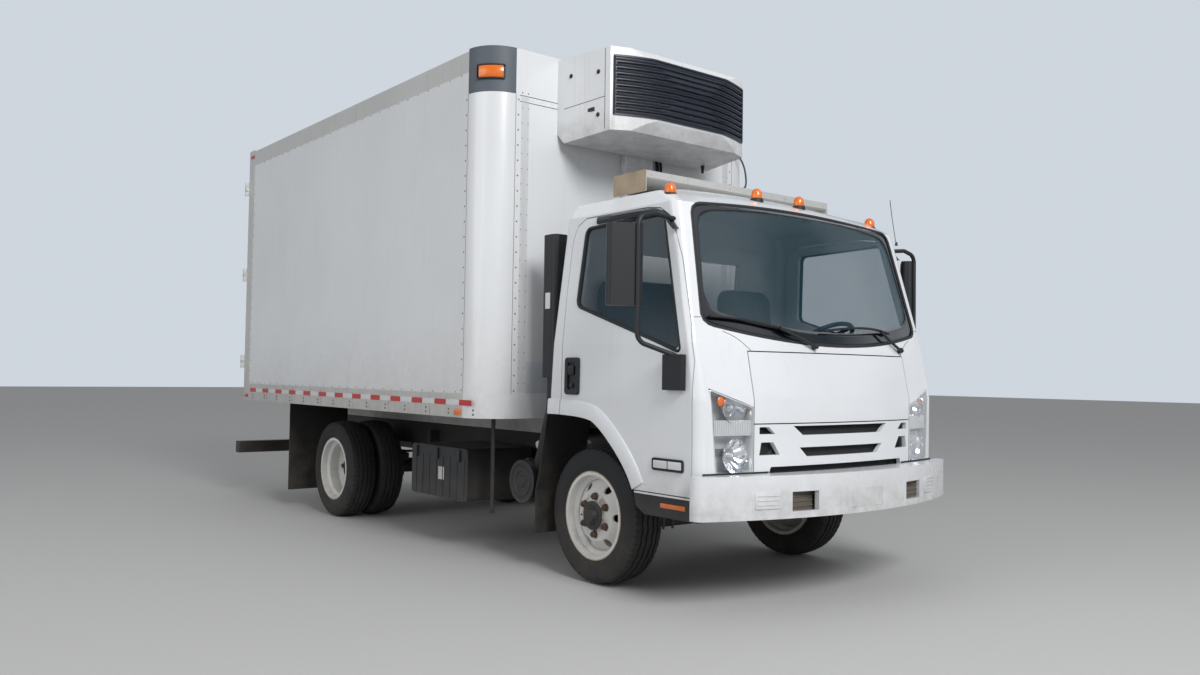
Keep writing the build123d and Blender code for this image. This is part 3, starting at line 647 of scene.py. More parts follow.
def screenLoop(v, top, side, low, corner, count=29):
    # top and bottom edges are arcs, drawn in by top, side and low, and the four corners are rounded off
    share = np.linspace(-1, 1, count)
    topZ = v["topMiddle"] - top - (v["topMiddle"] - v["topSide"]) * share ** 2
    lowZ = v["lowMiddle"] + low + (v["lowSide"] - v["lowMiddle"]) * share[::-1] ** 2
    runs = (np.stack(((v["topHalf"] - side) * share, topZ), -1),
            np.stack(((v["lowHalf"] - side) * share[::-1], lowZ), -1))
    # points within the corner's reach are dropped, and curves lead from each run to the next
    kept = [run[(np.linalg.norm(run - run[0], axis=1) > corner) & (np.linalg.norm(run - run[-1], axis=1) > corner)]
            for run in runs]
    loop, t = [], np.linspace(0, 1, 10)[1:-1, None]
    for here, there in ((0, 1), (1, 0)):
        last, first = runs[here][-1], runs[there][0]
        way = (first - last) / np.linalg.norm(first - last) * corner
        loop += [kept[here], bent(kept[here][-1], last, last + way, t), bent(first - way, first, kept[there][0], t)]
    # the loop is read at 150 even shares of its length
    closed = np.vstack((*loop, loop[0][:1]))
    length = np.concatenate(([0], np.cumsum(np.linalg.norm(np.diff(closed, axis=0), axis=1))))
    at = np.linspace(0, length[-1], 150, endpoint=False)
    return np.stack([np.interp(at, length, closed[:, k]) for k in (0, 1)], -1)


outer, inner = (screenLoop(screen, *screen[k]) for k in ("outer", "inner"))
matched = inner[np.argmin(np.linalg.norm(outer[:, None] - inner[None], axis=2), axis=1)]
bandShare = np.linspace(0, 1, 5)[None, :, None]
band = onFront(outer[:, None] * (1 - bandShare) + matched[:, None] * bandShare, -8.4)
thicken(addPiece("screenBorder", gridShape(band, True), "screenBorder"), 1.0)


def sealSection(half, low):
    return [(-half, low), (half, low), (half, 1), (4, 4), (-4, 4), (-half, 1)]


addPiece("screenSeal", carried(onFront(outer, -2.5), sealSection(9, -6), (0, -0.96, 0.28), True), "sealRubber")

# Thin joints between the cab's pressings, as dark lines sunk in the skin
cabJoints = {"cowl": ((668, 1364), (700, 1392), (760, 1436), (830, 1462)), "corner": ((950, 1532), (992, 1530)),
             "radius": 1.6}
jointLines = [carried(onFront(smoothed(cabJoints[k], 2), 0.0), roundSection(cabJoints["radius"], 6), (0, -1, 0.2))
              for k in ("cowl", "corner")]
addPiece("cabJoints", joined(jointLines + [mirrored(line) for line in jointLines]), "seamShadow")

# Headlamps: a housing sunk in the skin, chrome bowls, a ribbed strip between them, bulbs and a clear cover
headlamp = {"bowls": ((803, 1066, 84, 52, 40, 0.0), (797, 815, 92, 40, 36, 0.035)), "near": 12, "far": 62,
            "outline": [(694, 717), (932, 717), (968, 1164), (694, 1068)], "ribs": (920, 1000),
            "housing": ((0.985, 74), (0.985, -1), (0.975, -2.5), (0.955, -2.5), (0.945, 0), (0.93, 70)),
            "cover": ((0.962, 5), (0.962, 0), (0.94, -3), (0.7, -6), (0.35, -8), (0.05, -8.5)),
            "bulb": [(0, 13), (16, 13), (24, 10), (29, 5), (30, 0.5)],
            "amber": [(0, 26), (2, 26), (6, 21), (8, 11), (8, 0.5)]}


def lampShape(x, z, mouth, back, steps, ripple):
    # a bowl about the Y axis whose radius shrinks from mouth to back, with scallops for facets
    share = np.linspace(0, 1, 9)[:, None]
    turn = np.arange(steps)[None]
    angle = turn / steps * 2 * np.pi
    r = (mouth + (back - mouth) * share ** 1.6) * (1 - ripple * (turn % 2))
    y = frontY(x, z) + headlamp["near"] + (headlamp["far"] - headlamp["near"]) * share
    return gridShape(pointsAt(x + r * np.cos(angle), y, z + r * np.sin(angle)), False, True)


def headlampPieces(v):
    loop = roundedLoop(v["outline"], 16)
    floors, bulbs = [], []
    for x, z, _, back, _, _ in v["bowls"]:
        y = frontY(x, z) + v["far"]
        floors.append(lathed([(0, back + 1), (3, back), (4, back * 0.6), (3, 12), (3, 0.5)], 36, (x, y + 2, z),
                             (0, -1, 0)))
        bulbs.append(lathed(v["bulb"], 20, (x, y - 2, z), (0, -1, 0)))
    ribs = [carried(onFront(np.linspace((x, v["ribs"][0]), (x, v["ribs"][1]), 4), -14), roundSection(5, 8),
                    (0, -1, 0)) for x in np.arange(708, 934, 11.0)]
    # the cover bulges a little: its rings draw in while they lift
    housing, cover = (ringed([onFront(shrunk(loop, share), -sunk) for share, sunk in v[k]])
                      for k in ("housing", "cover"))
    bowls = [lampShape(*bowl) for bowl in v["bowls"]]
    signal = lathed(v["amber"], 24, (v["bowls"][0][0] + 82, frontY(880, 1100) + 22, 1096), (0, -1, 0))
    for name, shape, finish, crease in (
            ("Housings", housing, "lampGrey", 35), ("Reflectors", joined(bowls + floors), "chrome", 12),
            ("Bulbs", joined(bulbs), "lensClear", 35), ("Amber", signal, "amber", 35),
            ("Ribs", joined(ribs), "lensClear", 35), ("Covers", cover, "lampCover", 35)):
        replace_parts(addPair("lamp" + name, shape, finish, crease=crease), "headlamps")


headlampPieces(headlamp)
print("windscreen border and headlamps made")

# A dark strip of painted shade in the gap between the cab's front and the bumper, either side of the grille
bumperGap = {"from": 592, "to": 1004, "z": 723, "section": [(-5, -7), (3, -7), (3, 7), (-5, 7)]}
gapRun = onFront(np.linspace((bumperGap["from"], bumperGap["z"]), (bumperGap["to"], bumperGap["z"]), 22), 0)
addPair("bumperGap", carried(gapRun, bumperGap["section"]), "sealRubber")

# Wire mesh behind the slots of the grille, and the dark backs of the bumper's recesses
grilleMesh = {"behind": 34, "pitch": 17, "wire": 1.7, "halfWidth": 600,
              "bands": ((700, 765), (796, 900), (905, 972)), "shade": 46}


def grilleMeshPieces(v):
    wires, half = [], v["halfWidth"]
    for low, high in v["bands"]:
        rise = high - low
        for lean in (-rise, rise):
            for start in np.arange(-half - rise, half + rise, v["pitch"]):
                if max(abs(start), abs(start + lean)) < half:
                    path = onFront(np.linspace((start, low), (start + lean, high), 3), -v["behind"])
                    wires.append(carried(path, roundSection(v["wire"], 4), (0, -1, 0)))
    addPiece("grilleMesh", joined(wires), "black_plastic")
    x, z = np.linspace(-640, 640, 33)[None], np.linspace(706, 970, 7)[:, None]
    # a dark sheet behind the mesh: painted shade in the grille's openings
    thicken(addPiece("grilleShade", gridShape(pointsAt(x, frontY(x, z) + v["shade"], z)), "sealRubber"), 3)


grilleMeshPieces(grilleMesh)
fogBack = (blocks([((378, -1172, 524), (580, -1160, 648))], 5)
           + blocks([((384, -1178, z), (572, -1168, z + 7)) for z in (552, 578, 604)], 2.5))
addPair("fogRecessBacks", joined(fogBack), "linerBrown")

# Pads on the bumper's bowed front: a bare plate in the middle and a ribbed pad outside each recess
bumperPads = {"bow": 2787, "axisY": 1535, "plate": (-140, 130, 530, 636), "pad": (642, 790, 553, 642),
              "ribs": (575, 598, 621)}


def onBumper(outline, lift):
    # the bumper's front is an arc of radius bow about an upright axis
    x, z = np.moveaxis(np.asarray(outline, float), -1, 0)
    return pointsAt(x, bumperPads["axisY"] - np.sqrt(bumperPads["bow"] ** 2 - x ** 2) - lift, z)


def padOn(limits, proud):
    loop = loopOf(limits, 14)
    return ringed([onBumper(loop, -3), onBumper(loop, proud - 2), onBumper(shrunk(loop, 0.97), proud)])


padShapes = [padOn(bumperPads["pad"], 6)] + [carried(onBumper(np.linspace((654, z), (778, z), 9), 6),
                                                     roundSection(3, 8)) for z in bumperPads["ribs"]]
addPiece("bumperPlate", padOn(bumperPads["plate"], 3), "tapeWhite", slot="cab_paint")
addPair("bumperPads", joined(padShapes), "cab_paint")
print("grille mesh and bumper pads made")

# The doors' own trim: window seal, visor, handle, side lamp and the flare over the arch
doorTrim = {"window": [(-839, 1344), (74, 1628), (33, 2084), (-640, 2100)],
            "visorTop": [(-79, 2144), (-420, 2146), (-600, 2134), (-690, 2082), (-762, 2000)],
            "visorLow": [(-79, 2098), (-420, 2104), (-585, 2094), (-655, 2072), (-731, 2000)],
            "visorSection": ((0, -4), (0, 13), (0.3, 19), (0.7, 19), (1, 9), (1, -4)),
            "handle": ((10, 142, 1105, 1323), (38, 114, 1135, 1293), 22, 15, 12),
            "grip": ((1040, 50, 1222), (1057, 102, 1276)), "lock": [(0, 13), (4, 13), (6, 10), (6, 0.5)],
            "lamp": ((-870, -632, 726, 792), (-862, -640, 734, 784), 16, 12, 8),
            "arch": [(-483, 592), (-433, 682), (-339, 792), (-194, 917), (-70, 985), (600, 985)],
            "flare": [(0, -3), (0, 11), (-8, 12), (-80, 9), (-92, 4), (-92, -3)], "doorEnd": 186}


def sunkPlate(outer, recess, radius, proud, depth):
    # a plate with round corners whose middle is sunk: rings from its back edge over its rim to the recess floor
    grown, inside = loopOf(outer, radius), loopOf(recess, radius * 0.6)
    return ringed([onSide(loop, lift) for loop, lift in
                   ((grown, -4), (grown, proud - 3), (shrunk(grown, 0.97), proud), (shrunk(inside, 1.04), proud),
                    (inside, proud - 2), (inside, proud - depth))])


def doorPieces(v):
    seal = carried(onSide(roundedLoop(v["window"], 45), 0), sealSection(8, -20), (1, 0, 0), True)
    top, low = smoothed(v["visorTop"], 3), smoothed(v["visorLow"], 3)
    visor = np.stack([onSide(low * (1 - share) + top * share, lift) for share, lift in v["visorSection"]], 1)
    handle = [sunkPlate(*v["handle"]), softBlock(*v["grip"], 7, 4), lathed(v["lock"], 20, (1047, 76, 1160), (1, 0, 0))]
    # the flare is split where the door ends, and its front part swings with the door
    arch = smoothed(v["arch"], 3)
    arch = arch[(arch[:, 0] < v["doorEnd"]) & (arch[:, 1] > 604)]
    flare, rear = (carried(onSide(run, 0), v["flare"], (1, 0, 0)) for run in
                   (np.vstack((arch, (v["doorEnd"], 985))), [(194, 985), (250, 985), (312, 985)]))
    for name, shape, finish in (
            ("windowSeal_", seal, "sealRubber"),
            ("doorVisor_", gridShape(visor, False, True, caps=True), "glossBlack"),
            ("doorHandle_", joined(handle), "black_plastic"),
            ("sideLampFrame_", sunkPlate(*v["lamp"]), "black_plastic"),
            ("sideLampLens_", softBlock((1033, -858, 738), (1044, -644, 780), 4), "lensClear"),
            ("sideLampBar_", softBlock((1042, -760, 738), (1046, -756, 780), 1.5, 2), "sealRubber"),
            ("doorFlare_", flare, "cab_paint")):
        addSides(name, shape, finish, "door_")
    addSides("rearFlare_", rear, "cab_paint")


doorPieces(doorTrim)

# Liners under the arches, and the black sills before them with an amber marker
underTrim = {"across": (640, 1012), "liner": [(-700, 596), (-560, 594), (-506, 600), (-452, 700), (-355, 808),
                                              (-205, 935), (-76, 1000), (372, 1000)],
             "sill": [(-960, 478), (-540, 478), (-470, 520), (-452, 587), (-940, 587)],
             "sillRings": ((955, 1), (1008, 1), (1014, 0.96)), "marker": ((1008, -866, 529), (1019, -676, 554))}


def underPieces(v):
    y, z = smoothed(v["liner"], 2).T[:, :, None]
    ridge = 1.5 * np.cos(np.arange(15) * np.pi)[None]
    liner = gridShape(pointsAt(np.linspace(*v["across"], 15)[None], y, z + ridge))
    thicken(addPair("archLiners", liner, "linerBrown"), 5)
    loop = roundedLoop(v["sill"], 14)
    addPair("sills", ringed([pointsAt(x, *shrunk(loop, share).T) for x, share in v["sillRings"]]), "black_plastic")
    addPair("sillMarkers", softBlock(*v["marker"], 4), "amber")


underPieces(underTrim)

# Wipers: each arm stands on a spindle below the glass and carries a bowed blade
wiper = {"arms": ([(-203, 1392), (-330, 1446), (-455, 1492)], [(660, 1392), (560, 1442), (462, 1506)]),
         "blades": ([(-330, 1470), (-480, 1497), (-640, 1522), (-780, 1534), (-905, 1538)],
                    [(560, 1496), (420, 1518), (260, 1520), (80, 1508), (-100, 1489)]),
         "spindle": [(-18, 15), (14, 15), (22, 17), (28, 15), (30, 8), (30, 0.5)],
         "armSection": [(-9, -4), (9, -4), (9, 3), (5, 6), (-5, 6), (-9, 3)], "up": (0, -1, 0.2)}


def wiperPieces(v):
    arms, rubbers = [], []
    for run, blade in zip(v["arms"], v["blades"]):
        bowed, middle = smoothed(blade, 2), np.mean(blade[:2], 0)
        arms += [carried(onFront(smoothed(run, 2), 22), v["armSection"], v["up"]),
                 lathed(v["spindle"], 20, onFront(run[0], 0), (0, -1, 0.35)),
                 carried(onFront(bowed, 14), [(-7, 0), (7, 0), (5, 7), (-5, 7)], v["up"]),
                 pipe(onFront([run[-1], middle], 22), 6, v["up"], 1, 8)]
        rubbers.append(carried(onFront(bowed, 6), [(-2, -10), (2, -10), (4, 8), (-4, 8)], v["up"]))
    for name, shapes, finish in (("wiperArms", arms, "black_plastic"), ("wiperRubbers", rubbers, "sealRubber")):
        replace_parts(addPiece(name, joined(shapes), finish), "wipers")


wiperPieces(wiper)
print("door trim, liners, sills and wipers made")

# Mirror glass on the rear face of each head, which is turned 35 degrees, and a bead round it
mirrorHead = {"centre": (1255, -640, 1800), "turn": 35, "glass": (-82, 82, -200, 200), "face": 38.5, "bulge": 4}


def mirrorPieces(v):
    turn = np.array(Matrix.Rotation(math.radians(v["turn"]), 3, "Z"))
    x, z = loopOf(v["glass"], 24).T
    share = np.linspace(0, 1, 6)[1:, None]
    pane = gridShape(pointsAt(x * share * 0.995, v["face"] + v["bulge"] * (1 - share ** 2), z * share * 0.995),
                     False, True)
    pane[1].append(list(range(len(x))))
    bead = carried(pointsAt(x, v["face"], z), [(-4, -3), (3, -3), (3, 3), (-3, 3)], (0, 1, 0), True)
    addSides("mirrorGlass_", copies(pane, v["centre"], turn), "mirrorSilver", "door_")
    addSides("mirrorBead_", copies(bead, v["centre"], turn), "black_plastic", "door_")


mirrorPieces(mirrorHead)

# Aerial on the left screen pillar
aerial = [pipe([(1000, -731, 2105), (1001, -715, 2190), (1002, -695, 2300), (1004, -680, 2406)], 2.2),
          lathed([(0, 9), (14, 9), (22, 5), (26, 0.5)], 14, (1000, -733, 2098))]
addPiece("aerial", joined(aerial), "black_plastic")
print("mirrors and aerial made")

# Body: reflective tape, rivets, bolts, the strips beside the posts and the joints of the front wall
bodyTrim = {"side": 1233, "front": 766, "tape": (1012, 1048), "tapeStart": 880, "tapeEnd": 4900, "tapeBlock": 152,
            "tapeBlocks": 13, "heights": (1110, 3030, 100), "rails": (1420, 2030, 2640, 3250, 3860, 4470)}


def spots(x, y, z):
    # every combination of the given coordinates
    return np.stack(np.meshgrid(x, y, z, indexing="ij"), -1).reshape(-1, 3)


def bodyPieces(v):
    side, front, (low, high), long = v["side"], v["front"], v["tape"], v["tapeBlock"]
    pitch = (v["tapeEnd"] - v["tapeStart"] - long) / (v["tapeBlocks"] - 1)
    starts = [v["tapeStart"] + k * pitch for k in range(v["tapeBlocks"])]
    red = [((side, y, low), (side + 1.4, y + long, high)) for y in starts]
    white = [((side, y + long + 1, low), (side + 1.4, y + pitch - 1, high)) for y in starts[:-1]]
    heights, out, ahead = np.arange(*v["heights"]), (1, 0, 0), (0, -1, 0)
    rivets = [domes(spots(*places), normal, radius, height) for places, normal, radius, height in (
        ((side, 1010, heights), out, 6, 3), ((988, front, heights), ahead, 6, 3),
        (((912, 958), front, heights + 50), ahead, 5, 2.5),
        ((side, np.arange(1080, 4930, 150), (1098, 3184)), out, 5, 2.5), ((side, 4925, heights), out, 5, 3))]
    joints = [softBlock((side - 0.4, 988.5, 1090), (side + 0.8, 991.5, 3044), 0.5, 1),
              softBlock((1007.5, front - 0.8, 1090), (1010.5, front + 0.4, 3044), 0.4, 1),
              *blocks([((side - 1, y - 1.5, 936), (side + 0.6, y + 1.5, 1064)) for y in v["rails"]], 0.5, 1)]
    for name, shapes, finish in (
            ("tapeRed", blocks(red, 0.6, 1), "tapeRed"), ("tapeWhite", blocks(white, 0.6, 1), "tapeWhite"),
            ("bodyRivets", rivets, "steel_dark"),
            ("railBolts", [domes(spots(side, np.arange(860, 4930, 305), (958, 985)), out, 8, 5, 6)], "steel_dark"),
            ("railJoints", joints, "seamShadow"),
            ("postStrips", [softBlock((905, front - 1.5, 1100), (965, front + 1, 3040), 0.7, 1)], "mottledStrip")):
        addPair(name, joined(shapes), finish)
    addPiece("frontBand", softBlock((-900, front - 1.2, 1095), (900, front + 1, 1300), 0.6, 1), "blueBand")
    beams = [((-980, front - 2.0, z - 2), (980, front + 1, z + 2)) for z in (3000, 3040)]
    addPiece("frontJoints", joined(blocks(beams, 0.8, 1)), "seamShadow")
    addPiece("frontRivets", domes(spots(np.arange(-960, 961, 80), front, 3020), ahead, 5, 2.5), "aluminium")


bodyPieces(bodyTrim)

# Marker lamps: domes on the cab roof, lenses on the round corners, on the sides and across the rear
markers = {"corner": (1009, 990), "capTurn": (24, 64), "frameTurn": (21, 67), "frameHeights": (3131.0, 3219.0),
           "roof": ((896, -596, 2180, 103), (191, -588, 2236, 105)),
           "dome": ((0.42, 33), (0.55, 34), (0.78, 31), (0.92, 22), (0.99, 9), (1, 0.5)),
           "base": ((0, 40), (0.3, 40), (0.42, 37), (0.44, 30), (0.44, 0.5)),
           "cap": ((220, 3137), (234, 3137), (238, 3145), (238, 3205), (234, 3213), (220, 3213)),
           "sideFront": ((1233, 1010, 950), (1245, 1080, 990)),
           "sides": (((1233, 4965, 962), (1244, 5035, 990)), ((1233, 4955, 3268), (1243, 5035, 3296))),
           "tails": [((x + 1.5, 5083, 965), (x + 58.5, 5098, 1055)) for x in (760, 700, 640)],
           "tailFrame": ((636, 5080, 956), (824, 5088, 1064)),
           "tops": [((x - 40, 5080, 3250), (x + 40, 5092, 3280)) for x in (-200, 0, 200)]}


def onCap(radius, turn, z):
    # points about the upright axis of the body's round corner, by the angle from straight ahead
    x, y = markers["corner"]
    return pointsAt(x + radius * np.sin(turn), y - radius * np.cos(turn), z)


def paired(shapes):
    return [half for shape in shapes for half in (shape, mirrored(shape))]


def markerPieces(v):
    roof, bases = ([lathed([(height * share, radius) for share, radius in v[k]], 32, (sign * x, y, low))
                    for x, y, low, height in v["roof"] for sign in (1, -1)] for k in ("dome", "base"))
    turn = np.radians(np.linspace(*v["capTurn"], 14))
    cap = gridShape(np.stack([onCap(radius, turn, z) for radius, z in v["cap"]], 1), False, True, caps=True)
    outerTail, middleTail, innerTail = blocks(v["tails"], 5)
    amber = roof + paired([cap, softBlock(*v["sideFront"], 4)])
    red = blocks(v["tops"], 5) + paired(blocks(v["sides"], 4) + [innerTail, outerTail])
    for name, shapes, finish in (("amberLamps", amber, "amber"), ("redLamps", red, "lamp_red"),
                                 ("clearLamps", paired([middleTail]), "lensClear"),
                                 ("lampBases", bases + paired([softBlock(*v["tailFrame"], 3, 2)]), "sealRubber")):
        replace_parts(addPiece(name, joined(shapes), finish), "marker_lamps")


markerPieces(markers)

# Cap lamps sit in a dark frame: a loop along the cylinder's lower edge, up, back along its upper edge, and down
capTurn = np.radians(np.linspace(*markers["frameTurn"], 12))
capTurn = np.concatenate((capTurn, capTurn[::-1]))
capZ = np.repeat(markers["frameHeights"], 12)
capRings = [onCap(radius, capTurn, capZ + lift) for radius, lift in ((224, -4), (238, -4), (238, 4), (224, 4))]
addPair("capLampFrames", gridShape(np.stack(capRings, 1), True, True), "sealRubber", slot="cap_grey")
print("body trim made")

# Refrigeration unit: grille frame bars, side seams, fasteners, latch, drain and the bent service pipe
unitTrim = {"bow": 1407.5, "axisY": 1552.5, "heights": (2870, 3080, 3270), "front": (180, 150, 185),
            "lip": [(-5, -3), (4, -5), (6, 4), (-5, 5)], "bar": [(-6, -6), (5, -6), (5, 6), (-6, 6)],
            "post": [(-6, -6), (6, -6), (6, 6), (-6, 6)],
            "clip": [(-2, 15), (3, 15), (5, 12), (5, 5), (3, 4), (3, 0.5)]}


def onUnit(x, z, lift):
    # the front is the further back of two skins: one bowed across the truck, one bowed up its height
    bowed = unitTrim["axisY"] - np.sqrt(unitTrim["bow"] ** 2 - np.asarray(x, float) ** 2)
    return pointsAt(x, np.maximum(bowed, np.interp(z, unitTrim["heights"], unitTrim["front"])) - lift, z)


def unitSide(y, z):
    # the housing's side widens from 612 at its front corner to 675 at the body's wall, 481 further back
    return 612 + 63 * (y - 285) / 481, y, z


def unitPieces(v):
    # each louvre's lower lip stands out a little and hangs down
    bars = [carried(onUnit(np.linspace(-578, 578, 41), z, 2), v["lip"]) for z in np.arange(2903.0, 3270.0, 38.0)]
    bars += [carried(onUnit(np.linspace(-592, 592, 41), z, 3), v["bar"]) for z in (2889, 3268)]
    bars += [carried(onUnit(x, np.linspace(2889, 3268, 9), 3), v["post"], (0, -1, 0)) for x in (-590, 590)]
    addPiece("unitGrilleBars", joined(bars), "grille_dark")
    lip = onUnit(np.linspace(-604, 604, 41), 3270, -6) + (0, 0, 10)
    addPiece("unitLip", carried(lip, [(-4, -4), (7, -4), (7, 4), (-4, 4)]), "unit_white")
    seams = [carried(np.linspace(unitSide(*start), unitSide(*end), 9), roundSection(2.0, 6), (0.3, 0.2, 0.9))
             for start, end in (((330, 2800), (330, 3322)), ((330, 3010), (700, 2990)))]
    clips = [lathed(v["clip"], 18, [unitSide(y, z) for y, z in ((390, 3180), (390, 2900), (640, 3200))],
                    (1, -0.16, 0)), softBlock((622, 420, 2930), (638, 500, 2956), 4)]
    addPair("unitSeams", joined(seams), "seamShadow")
    addPair("unitClips", joined(clips), "black_plastic")
    drain = lathed([(0, 14), (26, 14), (28, 11), (60, 9), (61, 0.5)], 16, (530, 600, 2772), (0, 0, -1))
    addPiece("unitDrain", drain, "black_plastic")
    addPiece("servicePipe", pipe([(955, 765, 2985), (960, 735, 2980), (1010, 722, 2960), (1100, 722, 2880),
                                  (1135, 726, 2760), (1140, 740, 2705), (1140, 765, 2700)], 7), "steel_dark")
    addPiece("ductCover", softBlock((-120, 706, 2400), (140, 768, 2840), 14, 4), "unit_white")
    lines = [pipe([(x, 762, 2798), (x, 742, 2740), (x, 742, 2460), (x + 6, 748, 2400), (x + 6, 764, 2388)], radius)
             for x, radius in ((215, 13), (250, 9))]
    addPiece("coolantLines", joined(lines), "sealRubber")


unitPieces(unitTrim)

# The ends of the tray, a tan sheet on its right end whose colour is a painted reflection, and the screws along its
# front
addPair("trayEnds", softBlock((815, -309, 2286), (821, -20, 2409), 1.2, 2), "aluminium")
addPiece("trayEndReflection", softBlock((-823.5, -312, 2284), (-820.6, -17, 2411), 1.2, 1), "tanReflection")
addPiece("trayScrews", domes(spots(np.arange(-780, 790, 130), -310.5, 2388), (0, -1, 0), 6, 3), "aluminium")
print("unit and tray trim made")

# Chassis: battery box sticker, ribs and latches, duct reflector, hanging bar, spring bolts, brake chambers, air
# lines, the intake's elbow and the air filter's cap
chassis = {"ribs": [((-1033, y, 352), (-1029, y + 12, 636)) for y in np.arange(1285, 2000, 96)],
           "latches": [((-1042, y, 610), (-1029, y + 34, 690)) for y in (1340, 1640, 1940)],
           "bolts": ((357, 0, 286, 444), (433, 0, 286, 444), (437, rearAxle, 322, 536), (513, rearAxle, 322, 536)),
           "chamber": [(-48, 0.5), (-48, 50), (-40, 70), (-6, 74), (-6, 80), (6, 80), (6, 74), (34, 68), (44, 44),
                       (44, 0.5)],
           "line": ((300, 3120, 480), (330, 2950, 560), (400, 2600, 640), (405, 1400, 660), (405, 300, 660)),
           "elbow": [(-930, 560, 770), (-900, 560, 780), (-700, 570, 775), (-500, 600, 760)],
           "filterCap": [(-2, 138), (4, 138), (7, 134), (7, 112), (2, 108), (2, 96), (7, 92), (7, 66), (2, 62),
                         (2, 40), (9, 34), (11, 20), (11, 0.5)]}


def chassisPieces(v):
    # the air filter's end cap has rings pressed into it, and a band with a latch goes round its drum
    drum = [lathed(v["filterCap"], 56, (-956, 700, 535), (-1, 0, 0)),
            lathed([(-14, 137.5), (14, 137.5), (14, 134), (-14, 134)], 56, (-900, 700, 535), (1, 0, 0), True),
            softBlock((-922, 684, 662), (-878, 716, 682), 5)]
    bolts = [pipe([(x, y, low), (x, y, (low + high) / 2), (x, y, high)], 8, (1, 0, 0.1), 1, 8)
             for x, y, low, high in [(sign * x, y + dy, low, high) for sign in (1, -1) for dy in (-70, 70)
                                     for x, y, low, high in v["bolts"]]]
    clamps = lathed([(-7, 34), (7, 34), (7, 31), (-7, 31)], 24, [(x, 563, 778) for x in (-880, -720)], (1, 0, 0), True)
    chambers = lathed(v["chamber"], 28, [(300, 3170, 470), (-300, 3170, 470)], (0, -1, 0.2))
    lines = [pipe([(sign * x, y, z) for x, y, z in v["line"]], 7) for sign in (-1, 1)]
    for name, shapes, finish, *slot in (
            ("batterySticker", [softBlock((-1032.5, 1560, 470), (-1030, 1640, 560), 1, 1)], "stickerWhite"),
            ("ductReflector", [softBlock((-961.6, 420, 1630), (-959.4, 470, 1730), 1, 1)], "tapeWhite"),
            ("hangingBar", [softBlock((-965, 1020, 290), (-957, 1062, 936), 3)], "frame_black"),
            ("batteryBoxRibs", blocks(v["ribs"], 1.8, 2) + blocks(v["latches"], 4), "black_plastic", "frame_black"),
            ("springBolts", bolts, "steel_dark"), ("brakeChambers", [chambers], "frame_black"),
            ("airLines", lines, "sealRubber"),
            ("intakeElbow", [pipe(v["elbow"], 30, (0.1, 0.2, 1), 2, 16)], "aluminium"),
            ("elbowClamps", [clamps], "steel_dark"), ("filterCap", drum, "black_plastic")):
        addPiece(name, joined(shapes), finish, "root", *slot)


chassisPieces(chassis)
print("chassis details made")

# Seats: padded cushions and backs, filled out by a cloth simulation, with sewn channels pressed in afterwards
seatPlan = {"places": ((-800, -30), (250, 790)), "shrink": 12, "voxel": 0.016, "frames": 14, "pressure": 4.0,
            "cap": 0.016, "channels": 4, "channelDepth": 0.007, "channelHalf": 0.007, "lean": 0.1,
            "squareness": 0.32, "rows": 26,
            "Cushion": {"inset": 0, "thin": 12, "near": -330, "far": 150, "low": 1056, "high": 1186},
            "Back": {"inset": 10, "thin": 4.8, "near": 72, "far": 196, "low": 1200, "high": 1846}}


def padShape(low, high, squareness, count):
    # a closed cushion: the block's faces are a grid of count by twice count points on a superellipsoid
    u = np.linspace(-np.pi / 2, np.pi / 2, count)[:, None]
    w = np.linspace(-np.pi, np.pi, count * 2, endpoint=False)[None]

    def power(value):
        return np.sign(value) * np.abs(value) ** squareness
    unit = pointsAt(power(np.cos(u)) * power(np.cos(w)), power(np.cos(u)) * power(np.sin(w)), power(np.sin(u)))
    low, high = np.asarray(low, float), np.asarray(high, float)
    return gridShape((low + high) / 2 + unit * (high - low) / 2, False, True)


def meshOf(piece):
    # the piece's mesh with its modifiers applied, which are then removed
    shown = bpy.data.meshes.new_from_object(piece.evaluated_get(bpy.context.evaluated_depsgraph_get()))
    piece.modifiers.clear()
    return shown


def pointsOf(mesh):
    points = np.zeros(len(mesh.vertices) * 3)
    mesh.vertices.foreach_get("co", points)
    return points.reshape(-1, 3)


def fillOut(piece, v):
    # the pad is remeshed evenly, swells under pressure with gravity off, and each point's way is capped
    remesh = piece.modifiers.new("even", "REMESH")
    remesh.mode, remesh.voxel_size = "VOXEL", v["voxel"]
    piece.data = meshOf(piece)
    rest = pointsOf(piece.data)
    cloth = piece.modifiers.new("cloth", "CLOTH")
    cloth.settings.use_pressure = True
    cloth.settings.uniform_pressure_force = v["pressure"]
    cloth.settings.effector_weights.gravity = 0
    cloth.settings.quality = 4
    cloth.point_cache.frame_end = v["frames"]
    for step in range(1, v["frames"] + 1):
        bpy.context.scene.frame_set(step)
    way = pointsOf(meshOf(piece)) - rest
    bpy.context.scene.frame_set(1)
    return rest + way * np.minimum(1, v["cap"] / np.maximum(np.linalg.norm(way, axis=1, keepdims=True), 1e-9))


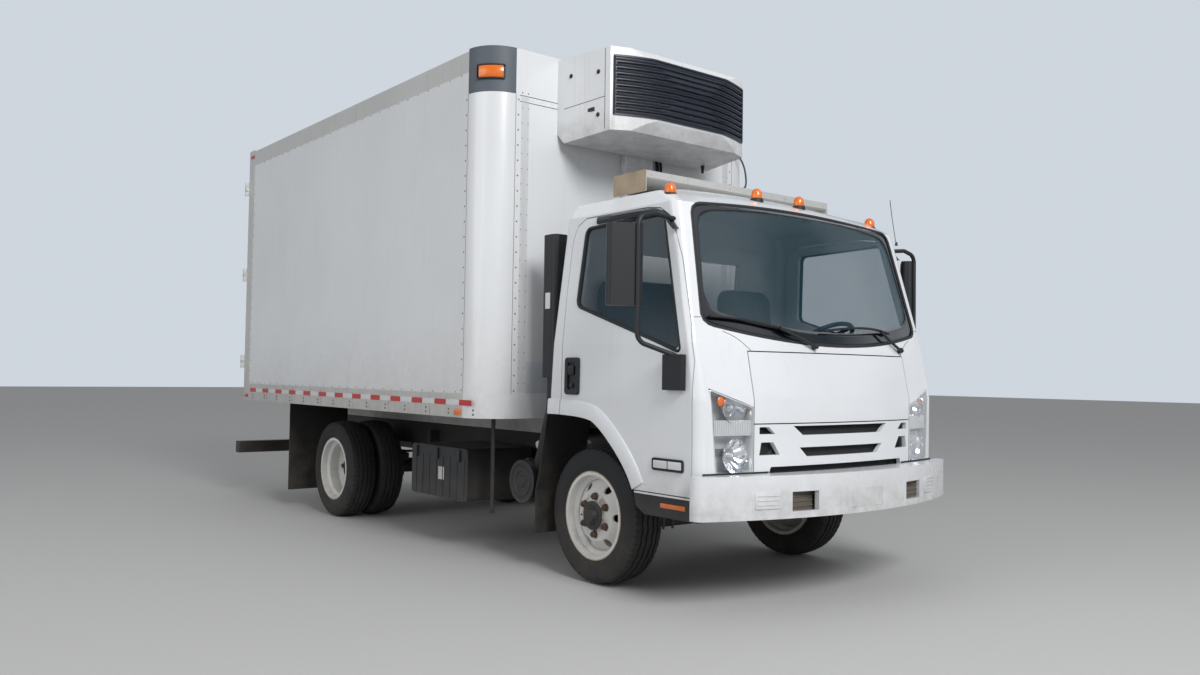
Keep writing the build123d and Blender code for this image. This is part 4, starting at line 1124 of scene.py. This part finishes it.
def seatPieces(v):
    s, count = v["shrink"], v["channels"] + 1
    for number, (left, right) in enumerate(v["places"]):
        for part in ("Cushion", "Back"):
            pad = v[part]
            inset, near, far, low, high = (pad[k] for k in ("inset", "near", "far", "low", "high"))
            shape = padShape((left + inset + s, near + pad["thin"], low + s),
                             (right - inset - s, far - pad["thin"], high - s), v["squareness"], v["rows"])
            piece = addPiece(f"seat{part}_{number}", shape, "seat_cloth")
            points = fillOut(piece, v)
            # channels run along the seat at even shares of its width
            middle, half = (left + right) / 2000, (right - left) / 2000
            across = (points[:, 0] - middle) / half * count / 2
            reach = np.abs(across - np.round(across)) * half * 2 / count
            press = v["channelDepth"] * np.exp(-(reach / v["channelHalf"]) ** 2) * (np.abs(across) < count / 2 - 0.4)
            if part == "Cushion":
                points[:, 2] -= press * (points[:, 2] > (low + high) / 2000)
            else:
                # the back leans: each point's Y grows with its height
                points[:, 1] += press * (points[:, 1] < (near + far) / 2000 - frontAxle / 1000)
                points[:, 1] += (points[:, 2] - low / 1000) * v["lean"] - 0.02
            piece.data.vertices.foreach_set("co", points.ravel())
            piece.data.shade_smooth()
            subdivide = piece.modifiers.new("fine", "SUBSURF")
            subdivide.levels = subdivide.render_levels = 1
            piece.data.update()
            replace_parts(piece, "seats")


seatPieces(seatPlan)
print("seats padded")

# Inside the cab: instrument cowl and air vents
vents = blocks([((x - 55, -668 - row * 5, 1345 + row * 9), (x + 55, -654 - row * 5, 1349 + row * 9))
                for x in (-760, -120, 120, 820) for row in range(5)], 1.8, 2)
addPiece("dashVents", joined(vents), "sealRubber", slot="interior")
addPiece("instrumentCowl", softBlock((300, -800, 1392), (640, -640, 1462), 26, 5), "interior")

# Rear: door gaskets just off the frame's rear face, and the bolts of the lock rods
rearFace = 5080
gasketX, gasketZ = loopOf((14, 1088, 1101, 3178), 30).T
gasketSection = [(-7, -2), (7, -2), (7, 3), (3, 5), (-3, 5), (-7, 3)]
gasketLine = pointsAt(gasketX, rearFace + 1, gasketZ)
addSides("doorGasket_", carried(gasketLine, gasketSection, (0, 1, 0), True), "sealRubber", "rear_door_")
lockBolts = domes(spots((138, 182, 398, 442), rearFace + 10, (1180, 1780, 2530, 3100)), (0, 1, 0), 6, 4)
addSides("lockBolts_", lockBolts, "steel_dark", "rear_door_")

# Load space: the ribbed aluminium floor
ribCount = 61
floorX = np.repeat(np.linspace(-1090, 1090, ribCount), 4) + np.tile((-13, -9, 9, 13), ribCount)
floorZ = np.tile((1102.0, 1112.0, 1112.0, 1102.0), ribCount)
floorGrid = pointsAt(floorX, np.array([[870.0], [4920.0]]), floorZ)
thicken(addPiece("loadFloorRibs", gridShape(floorGrid), "aluminium"), 2)
print("rear and load space made")
